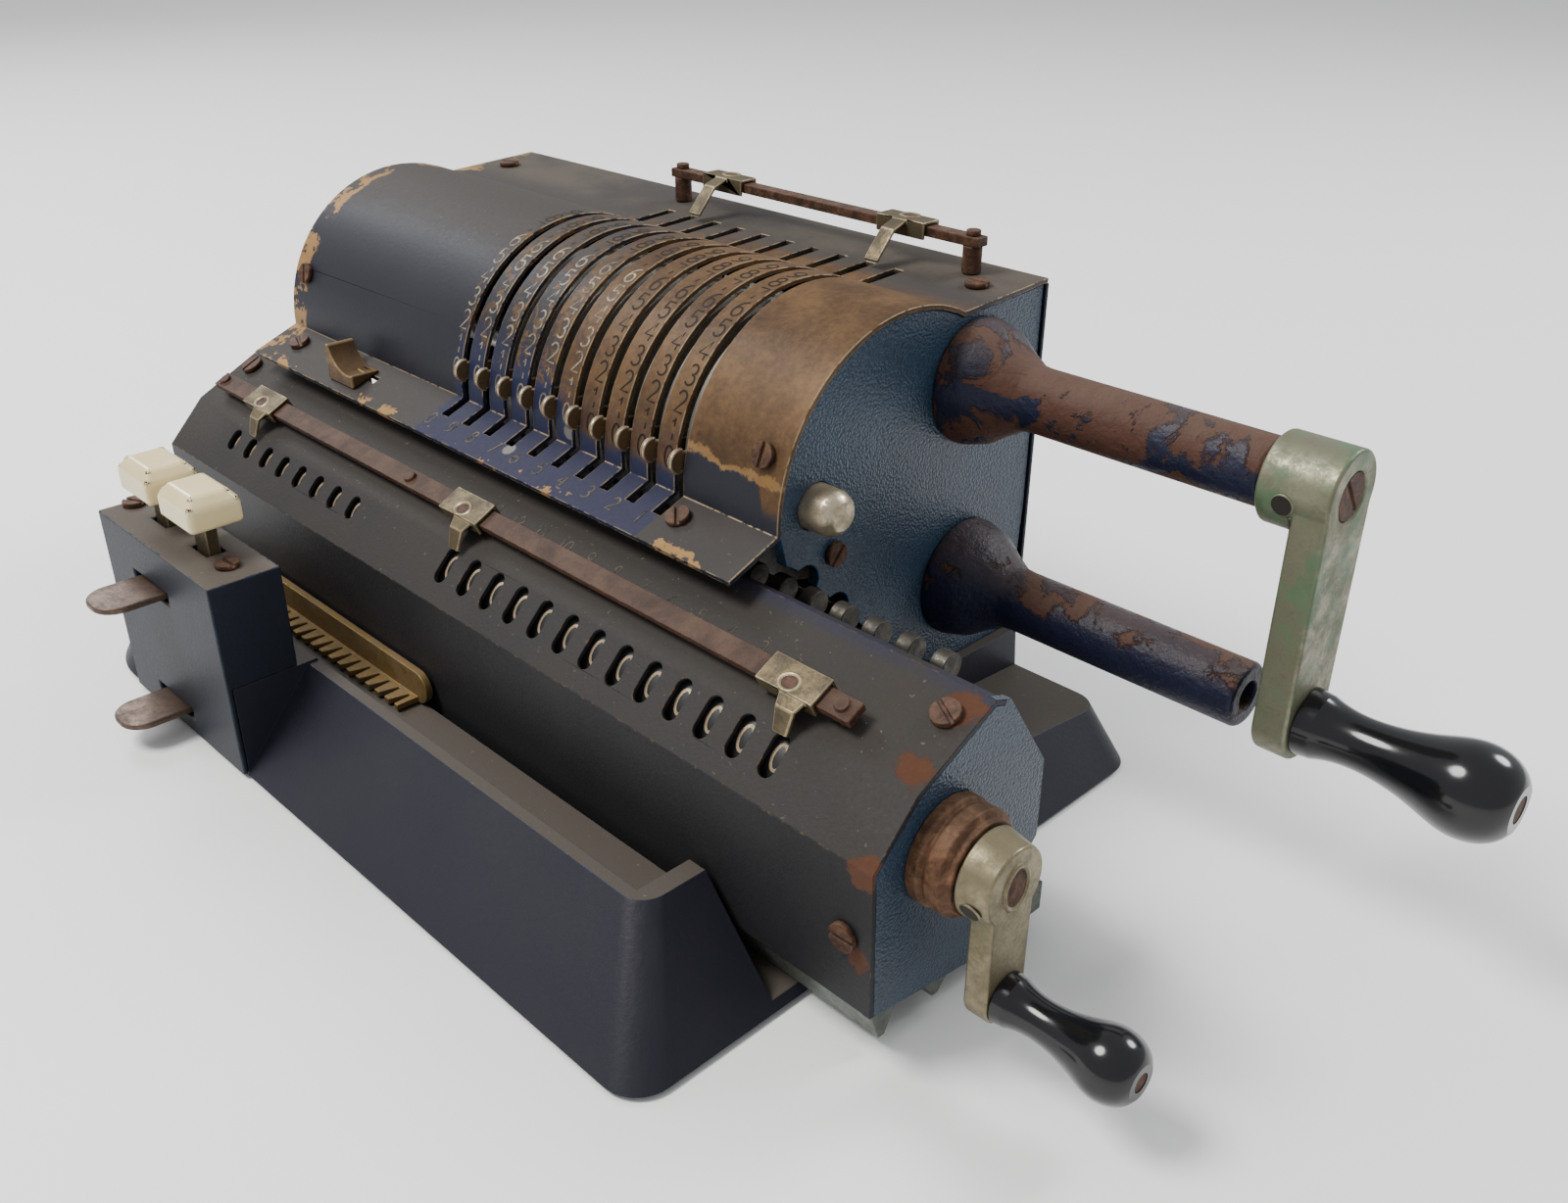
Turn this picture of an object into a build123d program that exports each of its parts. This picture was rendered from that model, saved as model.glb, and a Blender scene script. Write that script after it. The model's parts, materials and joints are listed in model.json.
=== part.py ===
from build123d import *
import os
from math import atan2, cos, degrees, hypot, radians, sin

os.makedirs("parts", exist_ok=True)

# A hand-cranked pinwheel calculating machine, in millimetres.
# X runs along the drum towards the crank, Y towards the back, Z up.
# The origin is on the table, under the middle of the base.

pitch = 9.5            # spacing of setting slots, number wheels and windows
running_fit = 0.05     # radial clearance of a shaft in its bearing
sheet = 1.2            # thickness of the pressed steel covers

# Base
base_half_length = 125.4
base_front = -84.5
base_back = 84.5
base_top = 25.0
base_bottom = 0.8
crown_left = -123.4
crown_right = 104.0
left_corner = 28.0
ledge_front = -63.5
rim_back = -60.4
ledge_right = 99.0
ledge_floor = 17.0
trough_front = -46.3
trough_back = 17.0
trough_floor = 2.6
guide_height = 2.2

# Side plates and cover
plate_thickness = 3.0
plate_right = 83.6
plate_left = -124.0
drum_y = 34.6
drum_z = 81.4
cover_radius = 41.0
cover_right = 84.2
cover_left = -125.0
cover_back = (84.9, 119.5)
apron_edge = (-20.6, 75.1)

# Setting drum
slot_count = 10
slot_first = -33.3
slot_width = 3.0
slot_front = -13.2
slot_back = 67.0
drum_shaft_radius = 6.0
wheel_radius = 32.4
pin_radius = 33.6

# Crank
crank_y = 58.9
crank_z = 100.0
crank_arm_length = 51.6
stub_y = 58.9
stub_z = crank_z - crank_arm_length
crank_shaft_radius = 5.0
tube_radius = 7.6
hub_start = 162.0
hub_end = 177.8
arm_inner = 170.0
stub_end = 164.2

# Carriage
carriage_left = -138.7
carriage_right = 148.5
cap_thickness = 2.0
dial_y = -25.0
dial_z = 44.3
dial_radius = 15.6
dial_shaft_radius = 4.0
result_count = 13
result_first = 1.9
counter_count = 8
counter_first = -109.6
shell_top_back = (-8.9, 70.0)
shell_top_front = (-12.0, 71.3)
shell_slope_top = (-33.9, 60.3)
shell_nose = (-45.4, 48.4)
shell_foot = (-44.5, 13.4)
cap_back_top = (6.0, 49.4)
cap_back_foot = (6.2, 30.5)
cap_low_back = (-13.0, 8.3)

# Front rail on the carriage, with its three pointers
rail_left = -131.5
rail_right = 129.0
rail_width = 5.2
rail_thickness = 2.0
rail_y = -27.6         # middle of the bar, from front to back
rail_lift = 3.3        # height of the bar's middle above the shell
rivet_places = [-128.0, -26.0, 125.5]
pointer_places = [-102.7, 0.0, 112.8]

# Key housing
housing_left = -92.2
housing_right = -28.6
housing_front = -85.3
housing_back = -66.3
housing_top = 54.0


def block(x0, x1, y0, y1, z0, z1):
    return Pos((x0 + x1) / 2, (y0 + y1) / 2, (z0 + z1) / 2) * Box(x1 - x0, y1 - y0, z1 - z0)


def rod(x0, x1, y, z, radius):
    return Pos((x0 + x1) / 2, y, z) * Rot(0, 90, 0) * Cylinder(radius, x1 - x0)


def post(x, y, z0, z1, radius):
    return Pos(x, y, (z0 + z1) / 2) * Cylinder(radius, z1 - z0)


# A solid whose section is the outline of (y, z) points, from x0 to x1.
def prism(points, x0, x1):
    outline = Polyline(*[(x0, y, z) for y, z in points], close=True)
    return extrude(make_face(outline), amount=x1 - x0, dir=(1, 0, 0))


# A solid turned about the line along X through (y, z), from (x, radius) points.
def turned(points, y, z):
    outline = make_face(Polyline(*[(x, radius) for x, radius in points], close=True))
    return Pos(0, y, z) * revolve(outline, Axis.X, 360)


# A point of the circle about the drum's axis, with the angle measured from +Y.
def around_drum(radius, angle):
    return (drum_y + radius * cos(radians(angle)), drum_z + radius * sin(radians(angle)))


def unit(y, z):
    length = hypot(y, z)
    return (y / length, z / length)


def slot_x(index):
    return slot_first + pitch * index


# A cheese-head screw: head standing on the surface, slot across it, shank in the metal.
def screw(place, direction, head=3.0, height=1.5, depth=2.4, turn=0.0):
    body = Pos(0, 0, height / 2) * Cylinder(head, height)
    body -= Pos(0, 0, height) * Rot(0, 0, turn) * Box(2.2 * head, 0.9, 1.4)
    body += Pos(0, 0, -depth / 2) * Cylinder(1.4, depth)
    return Plane(origin=place, z_dir=direction) * body


def screw_hole(place, direction, depth=2.4):
    return Plane(origin=place, z_dir=direction) * Pos(0, 0, -depth / 2) * Cylinder(1.4, depth)


def save(shape, node):
    export_step(shape, f"parts/{node}.step")


# ---------------------------------------------------------------- base
# A rectangle with rounded corners, the hidden front left one rounder than the others.
def base_outline(z, left, right, front, back, radius, left_radius):
    outline = Plane.XY.offset(z) * Pos((left + right) / 2, (front + back) / 2) * Rectangle(right - left, back - front)
    front_left = outline.vertices().sort_by(lambda corner: corner.X + corner.Y)[0]
    outline = fillet(front_left, left_radius)
    sharp = [corner for corner in outline.vertices() if corner.X > right - 1 or corner.Y > back - 1]
    sharp = [corner for corner in sharp if min(abs(corner.X - left), abs(corner.X - right)) < 0.1
             and min(abs(corner.Y - front), abs(corner.Y - back)) < 0.1]
    return fillet(sharp, radius)


def base_casting():
    foot = base_outline(base_bottom, -base_half_length, base_half_length, base_front, base_back, 9, left_corner)
    crown = base_outline(base_top, crown_left, crown_right, ledge_front, base_back - 2.5, 6, left_corner / 2)
    body = loft([foot, crown])
    # The carriage trough is open at both ends, and a ledge lies between it and the front rim.
    body -= block(-140, 140, trough_front, trough_back, trough_floor, 40)
    body -= block(-140, ledge_right, rim_back, trough_front + 1, ledge_floor, 40)
    # The wing beside the right plate is low.
    body -= prism([(trough_back - 1, 17.5), (base_back + 2, 13.0), (base_back + 2, 40), (trough_back - 1, 40)],
                  plate_right + 2.6, 140)
    # The boss that carries the key housing.
    body += block(housing_left, housing_right, housing_front + 1.5, rim_back - 0.5, base_bottom, base_top + 0.6)
    body -= block(housing_left - 0.2, housing_right + 0.2, -95, housing_front + 1.5, 0, base_top + 2)
    body -= block(tab_x - 11, tab_x + 11, -90, -76, tab_heights[1] - 4, tab_heights[1] + 4)
    # The casting is hollow underneath.
    body -= prism([(-77, 0), (-67, 11.5), (trough_front - 4, 11.5), (trough_front - 4, 0)], housing_right + 8, 92)
    body -= block(-104, 78, trough_back + 3.5, base_back - 6, 0, base_top - 4)
    return body


foot_places = [(-96, -62), (104, -62), (-112, 66), (98, 66), (0, 0)]


def base_feet():
    return [post(x, y, 0, base_bottom, 6.0) for x, y in foot_places]


rail_bar_places = [-30.2, 2.0]


def guide_rails():
    return [block(-118, 100, y - 1.4, y + 1.4, trough_floor, trough_floor + guide_height)
            for y in rail_bar_places]


# ---------------------------------------------------------------- side plates
scallops = [(2.9, 65.9), (13.2, 55.4)]
knob_y = 6.0
knob_z = 84.0
knob_radius = 5.4


def plate_outline(x):
    inner = cover_radius - sheet - 0.1
    front = around_drum(inner, 182.2)
    top = around_drum(inner, 120)
    back = around_drum(inner, 61.8)
    edges = Line((x, *back), (x, base_back - 0.5, cover_back[1] - sheet - 0.2))
    edges += Line((x, base_back - 0.5, cover_back[1] - sheet - 0.2), (x, base_back - 0.5, 60))
    edges += Polyline((x, base_back - 0.5, 60), (x, base_back - 2.8, base_top + 0.1), (x, 51, base_top + 0.1),
                      (x, 29, 41.2), (x, 8, 62.4), (x, 0.2, 70.2), (x, -3.0, 72.2), (x, *front))
    edges += ThreePointArc((x, *front), (x, *top), (x, *back))
    return make_face(edges)


def side_plate(x0):
    plate = extrude(plate_outline(x0), amount=plate_thickness, dir=(1, 0, 0))
    for y, z in scallops:
        plate -= rod(x0 - 1, x0 + plate_thickness + 1, y, z, 4.3)
    return plate


tie_bar_places = [(78.4, 109.6), (74.0, 34.0), (40.0, 33.5)]


def tie_bars():
    return [rod(plate_left + plate_thickness, plate_right - plate_thickness, y, z, 3.2) for y, z in tie_bar_places]


def side_plate_right():
    plate = side_plate(plate_right - plate_thickness)
    plate -= rod(70, plate_right - 1, drum_y, drum_z, drum_shaft_radius + running_fit)
    plate -= rod(70, 90, crank_y, crank_z, crank_shaft_radius + running_fit)
    plate -= rod(70, 90, knob_y, knob_z, knob_radius + running_fit)
    return plate


def side_plate_left():
    plate = side_plate(plate_left)
    plate -= rod(plate_left + 1, -110, drum_y, drum_z, drum_shaft_radius + running_fit)
    return plate


# ---------------------------------------------------------------- covers
def cover_outline(x):
    outer_front = around_drum(cover_radius, 181)
    outer_top = around_drum(cover_radius, 120)
    outer_back = around_drum(cover_radius, 62.5)
    inner = cover_radius - sheet
    inner_front = around_drum(inner, 182.2)
    inner_top = around_drum(inner, 120)
    inner_back = around_drum(inner, 61.8)
    edges = Line((x, *apron_edge), (x, *outer_front))
    edges += ThreePointArc((x, *outer_front), (x, *outer_top), (x, *outer_back))
    edges += Polyline((x, *outer_back), (x, *cover_back), (x, cover_back[0], cover_back[1] - sheet),
                      (x, *inner_back))
    edges += ThreePointArc((x, *inner_back), (x, *inner_top), (x, *inner_front))
    edges += Polyline((x, *inner_front), (x, apron_edge[0] + 0.4, apron_edge[1] - sheet), (x, *apron_edge))
    return make_face(edges)


thumb_x = -78.0


def drum_cover():
    cover = extrude(cover_outline(cover_left), amount=cover_right - cover_left, dir=(1, 0, 0))
    for index in range(slot_count):
        x = slot_x(index)
        cover -= block(x - slot_width / 2, x + slot_width / 2, slot_front, slot_back, 60, 130)
    cover -= block(thumb_x - 9.5, thumb_x + 9.5, -13.6, -11.4, 60, 85)
    return cover


def rear_cover():
    wall = block(cover_left, cover_right, base_back - 0.3, base_back + 0.9, 27, cover_back[1] - sheet - 0.15)
    for side in (cover_left, cover_right - sheet):
        wall += block(side, side + sheet, base_back - 0.3, base_back + 0.9, 27, 118)
    return wall


def flared_sleeve(x0, x1, y, z, bore):
    flange = plate_right + 0.02
    neck = flange + 10.0
    body = turned([(flange, 0), (flange, 15.2), (flange + 2.0, 15.2), (neck - 2.5, 13.6), (neck + 2.0, 10.6),
                   (neck + 7.0, tube_radius + 0.3), (neck + 10, tube_radius), (x1 - 0.8, tube_radius),
                   (x1, tube_radius - 0.8), (x1, 0)], y, z)
    return body - rod(x0, x1 + 1, y, z, bore)


def crank_sleeve():
    return flared_sleeve(plate_right - 1, hub_start - 0.4, crank_y, crank_z, crank_shaft_radius + running_fit)


def rest_stub():
    body = flared_sleeve(stub_end - 14, stub_end, stub_y, stub_z, 3.4)
    return body


# ---------------------------------------------------------------- rear rail
rear_rail_y = 76.0
rear_rail_z = 127.0
rear_rail_left = -41.5
rear_rail_right = 70.5
rear_top = cover_back[1]


def rear_rail():
    bar = block(rear_rail_left, rear_rail_right, rear_rail_y - 2.0, rear_rail_y + 2.0,
                rear_rail_z - 1.2, rear_rail_z + 1.2)
    for x in (rear_rail_left + 3, rear_rail_right - 3):
        bar -= post(x, rear_rail_y, 120, 135, 1.2)
    return bar


# The rail stands on two pillars, whose riveted pins pass through it.
def rear_rail_posts():
    posts = []
    for x in (rear_rail_left + 3, rear_rail_right - 3):
        pillar = post(x, rear_rail_y, rear_foot(rear_rail_y), rear_rail_z - 1.2, 2.4)
        pillar += post(x, rear_rail_y, rear_rail_z - 1.2, rear_rail_z + 1.2, 1.2)
        pillar += post(x, rear_rail_y, rear_rail_z + 1.2, rear_rail_z + 2.6, 1.8)
        posts.append(pillar)
    return posts


# Height of the flat top of the cover at y, a little clear of the sheet.
def rear_foot(y):
    back = around_drum(cover_radius, 62.5)
    share = (y - back[0]) / (cover_back[0] - back[0])
    return back[1] + share * (cover_back[1] - back[1]) + 0.14


# ---------------------------------------------------------------- key housing
def key_housing():
    body = block(housing_left, housing_right, housing_front, housing_back, base_top + 0.7, housing_top)
    body -= block(housing_left + 1.5, housing_right - 1.5, housing_front + 1.4, housing_back - 1.5, 20,
                  housing_top - 1.5)
    body += prism([(housing_front, base_bottom), (housing_front + 1.4, base_bottom),
                   (housing_front + 1.4, base_top + 1), (housing_front, base_top + 1)],
                  housing_left, housing_right)
    for x in key_places:
        body -= block(x - 4.2, x + 4.2, key_y - 2.4, key_y + 2.4, housing_top - 3, housing_top + 1)
    for z in tab_heights:
        body -= block(tab_x - 10.0, tab_x + 10.0, housing_front - 1, housing_front + 2, z - 1.8, z + 1.8)
    return body


key_places = [-73.4, -50.0]
key_y = -74.5
cap_length = 18.0
cap_depth = 14.0
cap_bottom = 62.5
cap_top = 71.5


def key_cap(x):
    base = Plane.XY.offset(cap_bottom) * Pos(x, key_y) * RectangleRounded(cap_length, cap_depth, 1.6)
    brow = Plane.XY.offset(cap_top - 3) * Pos(x, key_y) * RectangleRounded(cap_length, cap_depth, 1.6)
    face = Plane.XY.offset(cap_top) * Pos(x, key_y) * RectangleRounded(cap_length - 4.4, cap_depth - 4.4, 1.2)
    return loft([base, brow]) + loft([brow, face])


def key_stem(x):
    blade = block(x - 3.6, x + 3.6, key_y - 1.6, key_y + 1.6, 34, cap_bottom)
    blade += block(x - 4.6, x + 4.6, key_y - 1.6, key_y + 1.6, 34, 38)
    return blade


# The two finger tabs come out of slots in the front plate and lift or press a latch inside.
tab_x = -65.0
tab_heights = [41.2, 7.0]
tab_tip_y = -101.0
tab_root_y = -78.2
tab_pivot_y = -81.2


def finger_tab(z):
    plate = Plane.XY.offset(z - 0.9) * Pos(tab_x, (tab_tip_y + tab_root_y) / 2)
    tab = extrude(plate * RectangleRounded(15, tab_root_y - tab_tip_y, 6.5), amount=1.8)
    return tab + post(tab_x, tab_pivot_y, z - 2.4, z + 2.4, 2.2)


# ---------------------------------------------------------------- screws of the frame
def arc_place(x, angle):
    y, z = around_drum(cover_radius + 0.02, angle)
    return (x, y, z), (0, cos(radians(angle)), sin(radians(angle)))


def flat_place(x, y):
    back = around_drum(cover_radius, 62.5)
    way = unit(cover_back[0] - back[0], cover_back[1] - back[1])
    return (x, y, rear_foot(y) - 0.12), (0, -way[1], way[0])


def apron_place(x, y):
    front = around_drum(cover_radius, 181)
    way = unit(front[0] - apron_edge[0], front[1] - apron_edge[1])
    height = apron_edge[1] + (y - apron_edge[0]) * way[1] / way[0] + 0.02
    return (x, y, height), (0, -way[1], way[0])


def frame_screw_places():
    places = [arc_place(77.5, 158), arc_place(-118, 158), apron_place(58.5, -12.0), apron_place(-112, -12.0)]
    places += [flat_place(75.0, 69.0), flat_place(-115.0, 69.0)]
    places += [((plate_right, 12.1, 70.5), (1, 0, 0)), ((plate_left, 12.1, 70.5), (-1, 0, 0))]
    places += [((-37.3, -75.7, housing_top), (0, 0, 1)), ((-89.0, -76.7, housing_top), (0, 0, 1))]
    for x in (-110, -20, 70):
        places += [((x, base_back + 0.9, 40), (0, 1, 0)), ((x, base_back + 0.9, 108), (0, 1, 0))]
    return places


def frame_screws():
    return [screw(place, direction, depth=1.0, turn=23 * index)
            for index, (place, direction) in enumerate(frame_screw_places())]


def drilled(body):
    for place, direction in frame_screw_places():
        body -= screw_hole(place, direction, depth=1.0)
    return body


# ---------------------------------------------------------------- setting drum
def gear_outline(x, teeth, pitch_radius, phase):
    points = []
    step = 360 / teeth
    for tooth in range(teeth):
        centre = phase + step * tooth
        for turn, radius in ((-0.22, -1.1), (-0.10, 1.0), (0.10, 1.0), (0.22, -1.1)):
            angle = radians(centre + turn * step)
            points.append((x, (pitch_radius + radius) * cos(angle), (pitch_radius + radius) * sin(angle)))
    return make_face(Polyline(*points, close=True))


gear_teeth = 24
gear_left = 66.0
gear_right = 72.0
gear_centre_distance = hypot(crank_y - drum_y, crank_z - drum_z)
gear_pitch_radius = gear_centre_distance / 2
gear_line = degrees(atan2(crank_z - drum_z, crank_y - drum_y))


def gear(y, z, bore, phase):
    body = extrude(gear_outline(gear_left, gear_teeth, gear_pitch_radius, phase),
                   amount=gear_right - gear_left, dir=(1, 0, 0))
    return Pos(0, y, z) * (body - rod(gear_left - 1, gear_right + 1, 0, 0, bore))


def drum_shaft():
    return rod(plate_left + 1.1, plate_right - 1.1, drum_y, drum_z, drum_shaft_radius)


def drum_gear():
    return gear(drum_y, drum_z, drum_shaft_radius, gear_line)


# Each pinwheel is a disc with nine pins near its rim.
def pinwheel(index):
    x = slot_x(index)
    wheel = rod(x + 1.6, x + 8.0, drum_y, drum_z, wheel_radius)
    for number in range(9):
        y, z = around_drum(pin_radius - 2.0, 20 + 9 * number)
        pin = Pos(x + 5.9, y, z) * Rot(20 + 9 * number, 0, 0) * Box(2.2, 4.0, 2.0)
        wheel += pin
    return wheel - rod(x, x + 9, drum_y, drum_z, drum_shaft_radius)


tab_rest = 170.0


def setting_lever(index):
    x = slot_x(index)
    ring = rod(x - 1.0, x + 0.9, drum_y, drum_z, 29.0)
    ring -= rod(x - 2, x + 2, drum_y, drum_z, drum_shaft_radius + running_fit)
    finger = Pos(x, 0, 0) * Box(1.3, 16.0, 4.8)
    tab = rod(x - 0.65, x + 0.65, 0, 0, 3.1) & block(x - 1, x + 1, -0.6, 4, -4, 4)
    place = around_drum(28.0 + 6.0, tab_rest)
    rim = around_drum(cover_radius + 0.3, tab_rest)
    ring += Pos(0, place[0], place[1]) * Rot(tab_rest, 0, 0) * finger
    return ring + Pos(0, rim[0], rim[1]) * Rot(tab_rest, 0, 0) * tab


# ---------------------------------------------------------------- crank
def crank_shaft():
    return rod(62.0, hub_end - 3.0, crank_y, crank_z, crank_shaft_radius)


def crank_gear():
    return gear(crank_y, crank_z, crank_shaft_radius, gear_line + 180 + 180 / gear_teeth)


def crank_arm():
    hub = rod(hub_start, hub_end, crank_y, crank_z, 9.8)
    arm = block(arm_inner, hub_end, crank_y - 9.2, crank_y + 9.2, stub_z, crank_z)
    foot = rod(arm_inner, hub_end, stub_y, stub_z, 9.2)
    arm = hub + arm + foot
    arm -= rod(hub_start - 1, hub_end - 3.0, crank_y, crank_z, crank_shaft_radius)
    arm -= rod(hub_end - 1.6, hub_end + 1, crank_y, crank_z, 5.2)
    arm -= rod(hub_end - 4, hub_end + 1, stub_y, stub_z, 3.0)
    return arm


grip_start = hub_end + 0.3
grip_length = 44.0


def grip_outline(start, length, scale, bore):
    end = start + length
    edges = Polyline((start, bore), (start, 7.6 * scale), (start + 0.08 * length, 7.2 * scale))
    edges += Spline((start + 0.08 * length, 7.2 * scale), (start + 0.34 * length, 5.9 * scale),
                    (start + 0.58 * length, 8.0 * scale), (start + 0.78 * length, 10.2 * scale),
                    (start + 0.93 * length, 8.6 * scale), (end, 5.2 * scale))
    edges += Polyline((end, 5.2 * scale), (end, bore), (start, bore))
    return make_face(edges)


def grip(start, length, scale, y, z, bore):
    return Pos(0, y, z) * revolve(grip_outline(start, length, scale, bore + running_fit), Axis.X, 360)


def crank_grip():
    return grip(grip_start, grip_length, 1.0, stub_y, stub_z, 3.0)


# The hub's screw, its cross pin, and the pin on which the grip turns.
def crank_screws():
    face = hub_end - 1.6
    cap = rod(face, hub_end - 0.2, crank_y, crank_z, 5.2)
    cap -= Pos(hub_end - 0.3, crank_y, crank_z) * Rot(38, 0, 0) * Box(1.0, 1.0, 11)
    pin = rod(hub_end - 4, grip_start + grip_length - 0.6, stub_y, stub_z, 3.0)
    pin -= Pos(grip_start + grip_length - 0.6, stub_y, stub_z) * Rot(25, 0, 0) * Box(1.0, 0.9, 7)
    return [cap, pin]


# ---------------------------------------------------------------- carriage
# A bent sheet's outline: its outer points in order, then the same points moved inwards by its thickness.
def sheet_outline(points, thickness):
    inner = []
    last = len(points) - 1
    for index, (y, z) in enumerate(points):
        before = points[index - 1] if index else (2 * y - points[1][0], 2 * z - points[1][1])
        after = points[index + 1] if index < last else (2 * y - points[last - 1][0], 2 * z - points[last - 1][1])
        first = unit(y - before[0], z - before[1])
        second = unit(after[0] - y, after[1] - z)
        share = thickness / (1 + first[0] * second[0] + first[1] * second[1])
        inner.append((y - share * (first[1] + second[1]), z + share * (first[0] + second[0])))
    return list(points) + inner[::-1]


shell_path = [shell_top_back, shell_top_front, shell_slope_top, shell_nose, shell_foot]
slope_way = unit(shell_slope_top[0] - shell_top_front[0], shell_slope_top[1] - shell_top_front[1])
slope_normal = (slope_way[1], -slope_way[0])
face_way = unit(shell_nose[0] - shell_slope_top[0], shell_nose[1] - shell_slope_top[1])
face_normal = (face_way[1], -face_way[0])


# A point over the shell's upper slope: y along it, lifted off the metal.
def over_slope(y, lift):
    z = shell_top_front[1] + (y - shell_top_front[0]) * slope_way[1] / slope_way[0]
    return (y + lift * slope_normal[0], z + lift * slope_normal[1])


# A point over the window face, measured down from its upper edge.
def over_face(down, lift):
    y, z = shell_slope_top
    return (y + down * face_way[0] + lift * face_normal[0], z + down * face_way[1] + lift * face_normal[1])


def window(x, middle, length, width):
    y, z = over_face(middle, 0)
    plane = Plane(origin=(x, y, z), x_dir=(0, *face_way), z_dir=(0, *face_normal))
    return plane * extrude(SlotOverall(length, width), amount=4, both=True)


window_middle = 6.6
result_window = (9.6, 4.2)
counter_window = (6.4, 4.0)


def carriage_screw_places():
    places = []
    for x in (carriage_left + 6.5, carriage_right - 6.5):
        places.append(((x, *over_slope(-18.6, 0.02)), (0, *slope_normal)))
        places.append(((x, -44.98, 30.6), (0, -1, -0.0257)))
    return places


def carriage_screws():
    return [screw(place, direction, head=3.2, depth=1.0, turn=31 * index)
            for index, (place, direction) in enumerate(carriage_screw_places())]


def carriage_shell():
    shell = prism(sheet_outline(shell_path, sheet), carriage_left, carriage_right)
    for index in range(result_count):
        shell -= window(result_first + pitch * index, window_middle, *result_window)
    for index in range(counter_count):
        shell -= window(counter_first + pitch * index, window_middle - 0.6, *counter_window)
    for place, direction in carriage_screw_places():
        shell -= screw_hole(place, direction, depth=1.0)
    for x in rivet_places:
        shell -= rail_pin(x, -1.0, 0, 1.2)
    return shell


def carriage_end(x0, bore):
    outline = shell_path[1:] + [cap_low_back, cap_back_foot, cap_back_top, (-7.4, 69.6)]
    cap = prism(outline, x0, x0 + cap_thickness)
    cap -= prism(sheet_outline(shell_path, sheet), x0 - 1, x0 + 10)
    return cap - rod(x0 - 1, x0 + 5, dial_y, dial_z, bore)


# The bottom plate and back wall, with two guide ribs under it and the shift catch at the crank end.
def carriage_runner():
    left = carriage_left + cap_thickness
    right = carriage_right - cap_thickness
    path = [(-43.1, 13.2), cap_low_back, cap_back_foot, (6.1, 46.0)]
    body = prism(sheet_outline(path, 1.6), left, right)
    body += prism([(-42.9, 13.3), (-39.2, 3.2), (-37.2, 3.2), (-33.0, 12.0)], left, right)
    body += prism([(-27.6, 11.2), (-22.6, 3.4), (-20.8, 3.4), (-15.6, 9.4)], left, right)
    body += prism([(-14.0, 8.4), (-10.0, 5.4), (14.0, 5.0), (14.0, 12.6), (7.0, 12.6), (6.0, 8.0), (-11.5, 9.8)],
                  right - 11, right)
    return body


rack_right = 0.6
rack_left = -127.0
rack_bottom = 17.5
rack_top = 26.4
rack_back = -45.6
rack_plate = 2.0
rack_flange_front = -53.6
rack_flange = 1.7


# An angle strip along the carriage's foot: its flange over the base's ledge is cut into teeth.
def rack_strip():
    radius = (rack_top - rack_bottom) / 2
    face = rack_back - rack_plate
    strip = block(rack_left, rack_right - radius, face, rack_back, rack_bottom, rack_top)
    strip += Pos(rack_right - radius, rack_back - rack_plate / 2, rack_bottom + radius) * Rot(90, 0, 0) * Cylinder(
        radius, rack_plate)
    strip += block(rack_left, rack_right - radius, rack_flange_front, face + 0.5, rack_bottom,
                   rack_bottom + rack_flange)
    count = int((rack_right - rack_left - 6) / pitch * 2)
    for index in range(count):
        x = rack_right - radius - 1.5 - pitch / 2 * index
        points = [(x - 2.9, rack_flange_front - 1), (x, rack_flange_front - 1), (x - 0.6, face - 0.9),
                  (x - 1.4, face - 0.9)]
        tooth_gap = extrude(Plane.XY.offset(rack_bottom - 1) * make_face(Polyline(*points, close=True)), amount=4)
        strip -= tooth_gap
    for x in (rack_left + 6, rack_right - 7):
        strip += Pos(x, rack_back + 0.25, 23.0) * Rot(90, 0, 0) * Cylinder(1.5, 0.7)
    return strip


# A round pin through the rail, from one lift above the shell's slope to another.
def rail_pin(x, low, high, radius):
    y, z = over_slope(rail_y, 0)
    plane = Plane(origin=(x, y, z), x_dir=(1, 0, 0), z_dir=(0, *slope_normal))
    return plane * Pos(0, 0, (low + high) / 2) * Cylinder(radius, high - low)


def rail_section(half_width, low, high):
    corners = []
    for side, lift in ((-1, low), (1, low), (1, high), (-1, high)):
        y, z = over_slope(rail_y, lift)
        corners.append((y + side * half_width * slope_way[0], z + side * half_width * slope_way[1]))
    return corners


def front_rail():
    low = rail_lift - rail_thickness / 2
    high = rail_lift + rail_thickness / 2
    bar = prism(rail_section(rail_width / 2, low, high), rail_left, rail_right)
    for x in rivet_places:
        bar += rail_pin(x, 0.0, low, 2.0) + rail_pin(x, -1.0, 0.0, 1.2) + rail_pin(x, high, high + 1.0, 1.6)
    return bar


# A pointer: a clip over the rail, with a tongue that reaches down to the windows.
tongue_root = 3.6      # half width of a pointer's tongue where it leaves the clip
tongue_tip = 0.9


def pointer(x):
    low = rail_lift - rail_thickness / 2 - 0.6
    high = rail_lift + rail_thickness / 2 + 0.25
    half = rail_width / 2 + 0.25
    clip = prism(rail_section(half + 0.8, low, high + 0.8), x - 7.8, x + 7.8)
    clip -= prism(rail_section(half, low - 1, high), x - 9, x + 9)
    start = over_slope(rail_y, high + 0.8)
    start = (start[0] + (half + 0.4) * slope_way[0], start[1] + (half + 0.4) * slope_way[1])
    knee = over_slope(shell_slope_top[0] + 0.5, 4.6)
    tip = over_face(2.6, 1.6)
    middle = x + 2.75
    tongue = prism(sheet_outline([start, knee, tip], 0.8), middle - tongue_root, middle + tongue_root)
    for side in (-1, 1):
        waste = [(middle + side * tongue_root, start[0]), (middle + side * tongue_tip, tip[0] - 2),
                 (middle + side * 9, tip[0] - 2), (middle + side * 9, start[0])]
        tongue -= extrude(Plane.XY.offset(40) * make_face(Polyline(*waste, close=True)), amount=40)
    return clip + tongue


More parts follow.
